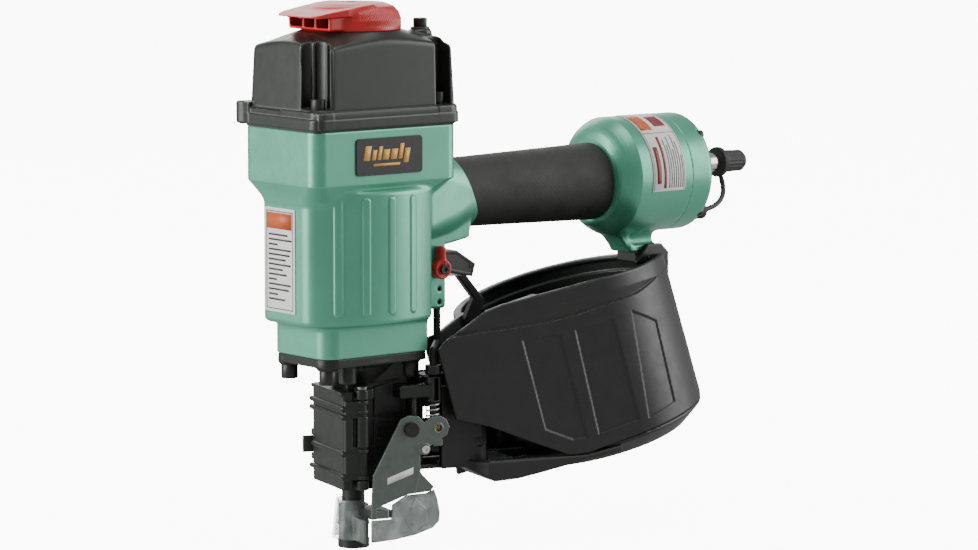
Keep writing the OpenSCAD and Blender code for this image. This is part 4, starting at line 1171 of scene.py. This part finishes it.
def contact_foot(p):
    """Tube round the driver guide with a thick tip, ribbed where the guard sits."""
    x, y, z = p.T
    q = NOSE.local(p)
    out = length(x, y)
    angle = np.arctan2(y, x)
    tip = edged(out - FOOT_R, between(z, 0, 5.2), 0.5)
    tube = edged(out - FOOT_R + 0.5, between(z, 3, 26), 0.4)
    groove = np.clip((z - 7) / 1.5, 0, 1) * np.clip((24 - z) / 1.5, 0, 1)
    tube = tube + 0.3 * groove * np.clip(np.cos(angle * 14) * 3, 0, 1)
    collar = edged(out - FOOT_R, between(z, 13.6, 15.8), 0.3)
    tab = box(q, (-1, PLATE_V + PLATE_T, 20.5), (13, PLATE_V + PLATE_T + 22, 25.6), 0.4)
    body = join(0.4, tip, tube, collar, tab)
    return cut(0.3, body, np.maximum(out - FOOT_R + 2.42, 4.5 - z), out - 4.6)


def side_shield(p):
    """Clear fan beside the foot, slightly dished, with a thick rim and a pad round its rivet."""
    q = NOSE.local(p)
    u, v, w = q.T
    shape = [(14, 28), (23, 33), (36, 33.4), (40.6, 35), (42.4, 30), (44.1, 22), (43.6, 16.6), (39.6, 13),
             (28.5, 9.6), (14, 7.4), (0.6, 6.8), (0.6, 19.2), (13.4, 19.2)]
    flat = outline(u, w, shape) - 0.5
    face = PLATE_V + PLATE_T + 0.05
    sheet = edged(flat, between(v, face, face + 1.5), 0.3)
    hollow = np.clip(-flat - 1.4, 0, 1)
    sheet = sheet + 0.3 * hollow * np.clip(face + 1 - v, 0, 1)
    pad = plate(q, [(21.8, 19), (28.5, 30.5), (35.4, 24), (35.4, 15.6), (27, 11.2)],
                face - 0.2, face + 1, 0.3, 1, 0.6)
    rivet = crosswise(q, 26.6, 16.4, face - 1.1, face + 1, 1.3, 0.4)
    return join(0.3, sheet, pad, rivet)


def front_shield(p):
    """Clear half cone in front of the foot, flaring downwards, with a wing that meets the fan."""
    x, y, z = p.T
    q = NOSE.local(p)
    out = length(x, y)
    radius = np.interp(z, (6, 30), (FOOT_R + 3.6, FOOT_R + 1.2))
    shell = edged(np.maximum(out - radius, radius - 1.3 - out), between(z, 5.6, 29.4), 0.4)
    shell = np.maximum(shell, q[:, 0] - 2.4)
    wing = box(q, (-5, -27.5, 6), (-3.5, -8.5, 20), 0.3)
    return np.maximum(join(0.8, shell, wing), radius - 1.3 - out)


def on_arm(across, up, out):
    return NOSE.world((across + 0.02 * up, PLATE_V - out, up + 0.33 * across))


surface("contact_plate_leaf", contact_plate, *cad("contact_plate"), 0.42, STEEL, "contact_arm",
        ["contact_plate"], "steel_plate")
inlay("arm_plate_label", on_arm, [(8.6, 38.2, 25.4, 42.2)], LABEL)
surface("contact_foot_tube", contact_foot, *cad("contact_foot"), 0.4, FOOT, "contact_arm", ["contact_foot"],
        "nose_dark")
surface("side_shield_fan", side_shield, *cad("side_shield"), 0.45, MILKY, "contact_arm", ["side_shield"],
        "clear_guard")
SHIELD_LO, SHIELD_HI = cad("front_shield")
surface("front_shield_cone", front_shield, SHIELD_LO - (3, 1, 1), SHIELD_HI + (1, 2, 3), 0.45, CLEAR,
        "contact_arm", ["front_shield"], "clear_guard")


# ---------------------------------------------------------------- trigger, mode lever, air plug, dust cap

def trigger(p):
    """Hollow trigger with rounded edges, a finger hollow and a raised border on its cheeks."""
    x, y, z = p.T
    shape = [(43.9, 163.2), (46.2, 161), (64.9, 162), (84.4, 157.6), (86.7, 164.8), (72.8, 173.6),
             (64, 174.1), (48, 170.5), (43.9, 168.8)]
    flat = outline(x, z, shape) - 0.4
    body = edged(flat, np.abs(y) - 8, 0.6)
    body = body + 0.35 * np.clip(-flat - 1.6, 0, 0.6) / 0.6 * np.clip(np.abs(y) - 7, 0, 1)
    hollow = plate(p, [(40, 150), (95, 150), (95, 166.5), (60, 169), (57, 165), (40, 160.5)], -5, 5, 0.4)
    shaft = crosswise(p, PIVOT[0], PIVOT[2], -40, 40, 3.06)
    pin = crosswise(p, LEVER_PIVOT[0], LEVER_PIVOT[2], -40, 40, 1.62)
    return cut(0.3, body, hollow, shaft, pin)


SELECTOR_LO, SELECTOR_HI = cad("selector_lever")


def selector(p):
    """Red mode lever: a dished disc on its shaft, with a rounded finger."""
    lo = SELECTOR_LO[1]
    px, pz = PIVOT[0], PIVOT[2]
    disc = crosswise(p, px, pz, lo, lo + 6, 6, 1)
    dish = crosswise(p, px, pz, lo - 1, lo + 0.7, 4.3, 0.3)
    squash = np.array([1, 0.6, 1])
    root = np.array([px, lo + 3.1, pz]) * squash
    finger = bar(p * squash, root, root + (0, 0, 11.6), 2.4)
    shaft = crosswise(p, px, pz, lo + 5, SELECTOR_HI[1], 2.95, 0.3)
    body = join(1.6, cut(0.4, disc, dish), finger)
    return cut(0.2, join(0.5, body, shaft), crosswise(p, px, pz, -60, 60, 1.52))


def air_plug(p):
    """Turned plug with a hexagon at the end cap and a ringed neck."""
    x, y, z = p.T
    face = END_HI[0]
    out = length(y, z - PLUG_Z)
    flats = [np.abs(y * math.cos(a) + (z - PLUG_Z) * math.sin(a)) for a in np.radians((0, 60, 120))]
    hexagon = np.maximum.reduce(flats)
    nut = common(0.6, edged(hexagon - 7.7, between(x, face, face + 9), 0.3), out - 8.5)
    neck = [(9, 6.2), (9, 7.3), (14, 7.3), (15.6, 5.8), (18, 4.4), (22, 4.4), (24, 5.7), (29.6, 5.7),
            (31.7, 3.65), (42, 3.65), (43.7, 2.9), (43.7, 0)]
    profile = [(PLUG_LO[0], 0), (PLUG_LO[0], 6.2)] + [(face + out_by, r) for out_by, r in neck]
    stem = turned(p, profile, PLUG_Z, 0.25)
    body = np.minimum(nut, stem)
    rings = np.abs(np.abs(x - face - 11.5) - 1.2) - 0.35
    body = np.maximum(body, -np.maximum(rings, 6.8 - out))
    return cut(0.3, body, np.maximum(out - 2.4, PLUG_LO[0] - x))


def dust_cap(p):
    """Rubber cap on the plug's mouth, with a wide lip and finger ribs."""
    x, y, z = p.T
    out = length(y, z - PLUG_Z)
    lo, hi = DUST_LO[0], DUST_HI[0]
    body = turned(p, [(lo, 4.3), (lo, 9.2), (lo + 2.2, 9.2), (lo + 4, 6.9), (hi - 2.2, 6.4), (hi - 0.4, 5.2),
                      (hi - 0.4, 0), (lo + 12, 0), (lo + 12, 4.3)], PLUG_Z, 0.3)
    ribs = np.cos(np.arctan2(y, z - PLUG_Z) * 18)
    band = np.clip((x - lo - 5) / 1.5, 0, 1) * np.clip((hi - 3 - x) / 1.5, 0, 1) * np.clip(out - 5.4, 0, 1)
    return body + 0.22 * band * (1 - ribs)


def tether(p):
    """Strap that bends from a knob on the end cap up to the dust cap."""
    knob_y, knob_z = KNOB
    face = END_HI[0]
    knob = rod(p, (face, knob_y, knob_z), (face + 10, knob_y, knob_z), 5.2, 1.2)
    ring = np.abs(p[:, 0] - face - 5) - 0.7
    knob = np.maximum(knob, -np.maximum(ring, 4.5 - length(p[:, 1] - knob_y, p[:, 2] - knob_z)))
    stud = rod(p, (face - 9, knob_y, knob_z), (face + 1, knob_y, knob_z), 2.5)
    start = np.array((face + 8, knob_y, knob_z))
    bend = np.array((face + 35, knob_y + 2, knob_z + 1))
    finish = np.array((face + 35, knob_y + 11, knob_z + 18))
    steps = [(1 - t) ** 2 * start + 2 * t * (1 - t) * bend + t * t * finish for t in np.linspace(0, 1, 9)]
    return join(1.2, np.minimum(knob, stud), polyline(p, steps, 1.6))


DUST_LO, DUST_HI = cad("dust_cap")
surface("trigger_body", trigger, *cad("trigger"), 0.5, TRIGGER, "trigger", ["trigger"], "trigger_black")
surface("selector_knob", selector, SELECTOR_LO, SELECTOR_HI, 0.4, RED, "selector", ["selector_lever"],
        "selector_red")
surface("air_plug_turned", air_plug, PLUG_LO, PLUG_HI, 0.42, BRIGHT, "tool", ["air_plug"], "bright_steel")
surface("dust_cap_moulded", dust_cap, DUST_LO, DUST_HI, 0.4, SEAL, "dust_cap", ["dust_cap"], "seal_rubber")
surface("dust_cap_strap", tether, *cad("dust_cap_tether"), 0.45, SEAL, "tool", ["dust_cap_tether"],
        "seal_rubber")


# ---------------------------------------------------------------- printed marks

EMBLEM_LO, EMBLEM_HI = cad("emblem_plate")
FRONT_LO, FRONT_HI = cad("front_label")
REAR_END = cad("rear_label")[1][0]
EMBLEM_MID = (EMBLEM_LO + EMBLEM_HI) / 2


def on_emblem(across, up, out):
    return (EMBLEM_MID[0] + across + 0.2 * up, EMBLEM_LO[1] - out, EMBLEM_MID[2] + up)


def on_front(across, up, out):
    return (FRONT_LO[0] - out, FRONT_HI[1] - across, FRONT_LO[2] + up)


def on_tank(around, back, out):
    radius = PLENUM_R + 0.5 + out
    angle = around / PLENUM_R
    return (REAR_END - back, -radius * math.cos(angle), PLENUM_Z + radius * math.sin(angle))


def bars(lengths, start, left, pitch, height):
    """Rows of bars standing in for lines of print."""
    rows = [(start - i * pitch, size) for i, size in enumerate(lengths)]
    return [(left, low, left + size, low + height) for low, size in rows]


EMBLEM_BARS = [(-19, -2, -14.5, 6.5), (-13, -2, -10, 4), (-8.8, -2, -6.2, 6), (-5, -2, -0.5, 4),
               (0.8, -2, 5.4, 4), (6.6, -2, 9.4, 7), (10.8, -4.5, 14.5, 4), (-11, -5.6, 8.5, -4.2)]
inlay("emblem_bars", on_emblem, EMBLEM_BARS, EMBLEM_GOLD)
FRONT_W = FRONT_HI[1] - FRONT_LO[1]
FRONT_H = FRONT_HI[2] - FRONT_LO[2]
inlay("front_label_head", on_front, [(2.5, FRONT_H - 12.5, FRONT_W - 3, FRONT_H - 3)], LABEL_ORANGE)
FRONT_LINES = bars((19, 23, 9, 22, 21, 17, 22, 14, 18, 8, 22, 20, 9, 16), FRONT_H - 16.5, 4, 2.95, 1.1)
FRONT_FRAME = [(1.8, 2.2, 2.3, FRONT_H - 2.4), (FRONT_W - 2.3, 2.2, FRONT_W - 1.8, FRONT_H - 2.4),
               (1.8, 1.8, FRONT_W - 1.8, 2.3), (1.8, FRONT_H - 2.4, FRONT_W - 1.8, FRONT_H - 1.9)]
inlay("front_label_print", on_front, FRONT_LINES + FRONT_FRAME, LABEL_DARK)
inlay("rear_label_head", on_tank, [(33, 15.5, 50, 24.6)], LABEL_ORANGE, 8)
inlay("rear_label_title", on_tank, [(-3, 19.6, 20, 23), (-6, 15.4, 27, 17.4), (36, 3, 48, 12)], LABEL_MAROON,
      10)
TANK_LINES = bars((31, 27, 33, 24, 34, 29, 20), 12.6, -6, 1.8, 0.7)
TANK_FRAME = [(-7.4, 0.8, 56, 1.2), (-7.4, 24.8, 56, 25.2), (30, 1.2, 30.4, 24.8)]
inlay("rear_label_print", on_tank, TANK_LINES + TANK_FRAME, LABEL_GREY, 12)


# ---------------------------------------------------------------- hardware that keeps its CAD shape

FINISH = {
    BOLT_BLACK: ["cap_bolts", "cap_plug", "deflector_screw", "end_cap_bolts", "nose_bolts", "bracket_bolt",
                 "adjuster_button", "roll_pins", "contact_rod", "feed_cylinder", "selector_screw",
                 "lever_pin"],
    CAST: ["head_valve", "cylinder_sleeve", "piston"],
    SPRING: ["head_valve_spring", "valve_spring", "contact_spring", "feed_spring"],
    SEAL: ["cap_gasket", "sleeve_seals", "bumper", "piston_ring", "end_cap_seal", "dust_cap",
           "dust_cap_tether"],
    BRIGHT: ["driver_blade", "valve_plunger", "trigger_lever", "latch_pin", "arm_screw", "feed_piston",
             "air_plug"],
    BRASS: ["valve_body", "depth_wheel"],
    STEEL: ["door_hinge_pin", "door_latch", "contact_plate", "feed_pawl"],
    NOSE_DARK: ["nose", "nail_door"],
    FOOT: ["contact_foot"],
    TRIGGER: ["trigger"],
    CANISTER: ["canister", "canister_cover", "nail_tray", "cover_hinge_pin"],
    RED: ["selector_lever"],
    CLEAR: ["front_shield"],
    MILKY: ["side_shield"],
    EMBLEM: ["emblem_plate"],
    LABEL: ["front_label", "rear_label"],
    GREEN: ["housing", "end_cap"],
    CAP_BLACK: ["cylinder_cap"],
    RUBBER: ["grip"],
}
TINY_EDGE = 0.25
UNBROKEN = ("head_valve_spring", "valve_spring", "contact_spring", "feed_spring")


def break_edges(obj, width):
    """A small round on each sharp edge of a CAD mesh, whose faces come unjoined."""
    weld = obj.modifiers.new("weld", "WELD")
    weld.merge_threshold = 0.00001
    bevel = obj.modifiers.new("edges", "BEVEL")
    bevel.width = width * MM
    bevel.segments = 2
    bevel.limit_method = "ANGLE"
    bevel.angle_limit = math.radians(35)
    bevel.harden_normals = True


for material, nodes in FINISH.items():
    for node in nodes:
        obj = frame["nodes"][node]
        obj.data.materials.clear()
        obj.data.materials.append(material)
        if not obj.hide_render and node not in UNBROKEN:
            break_edges(obj, TINY_EDGE)
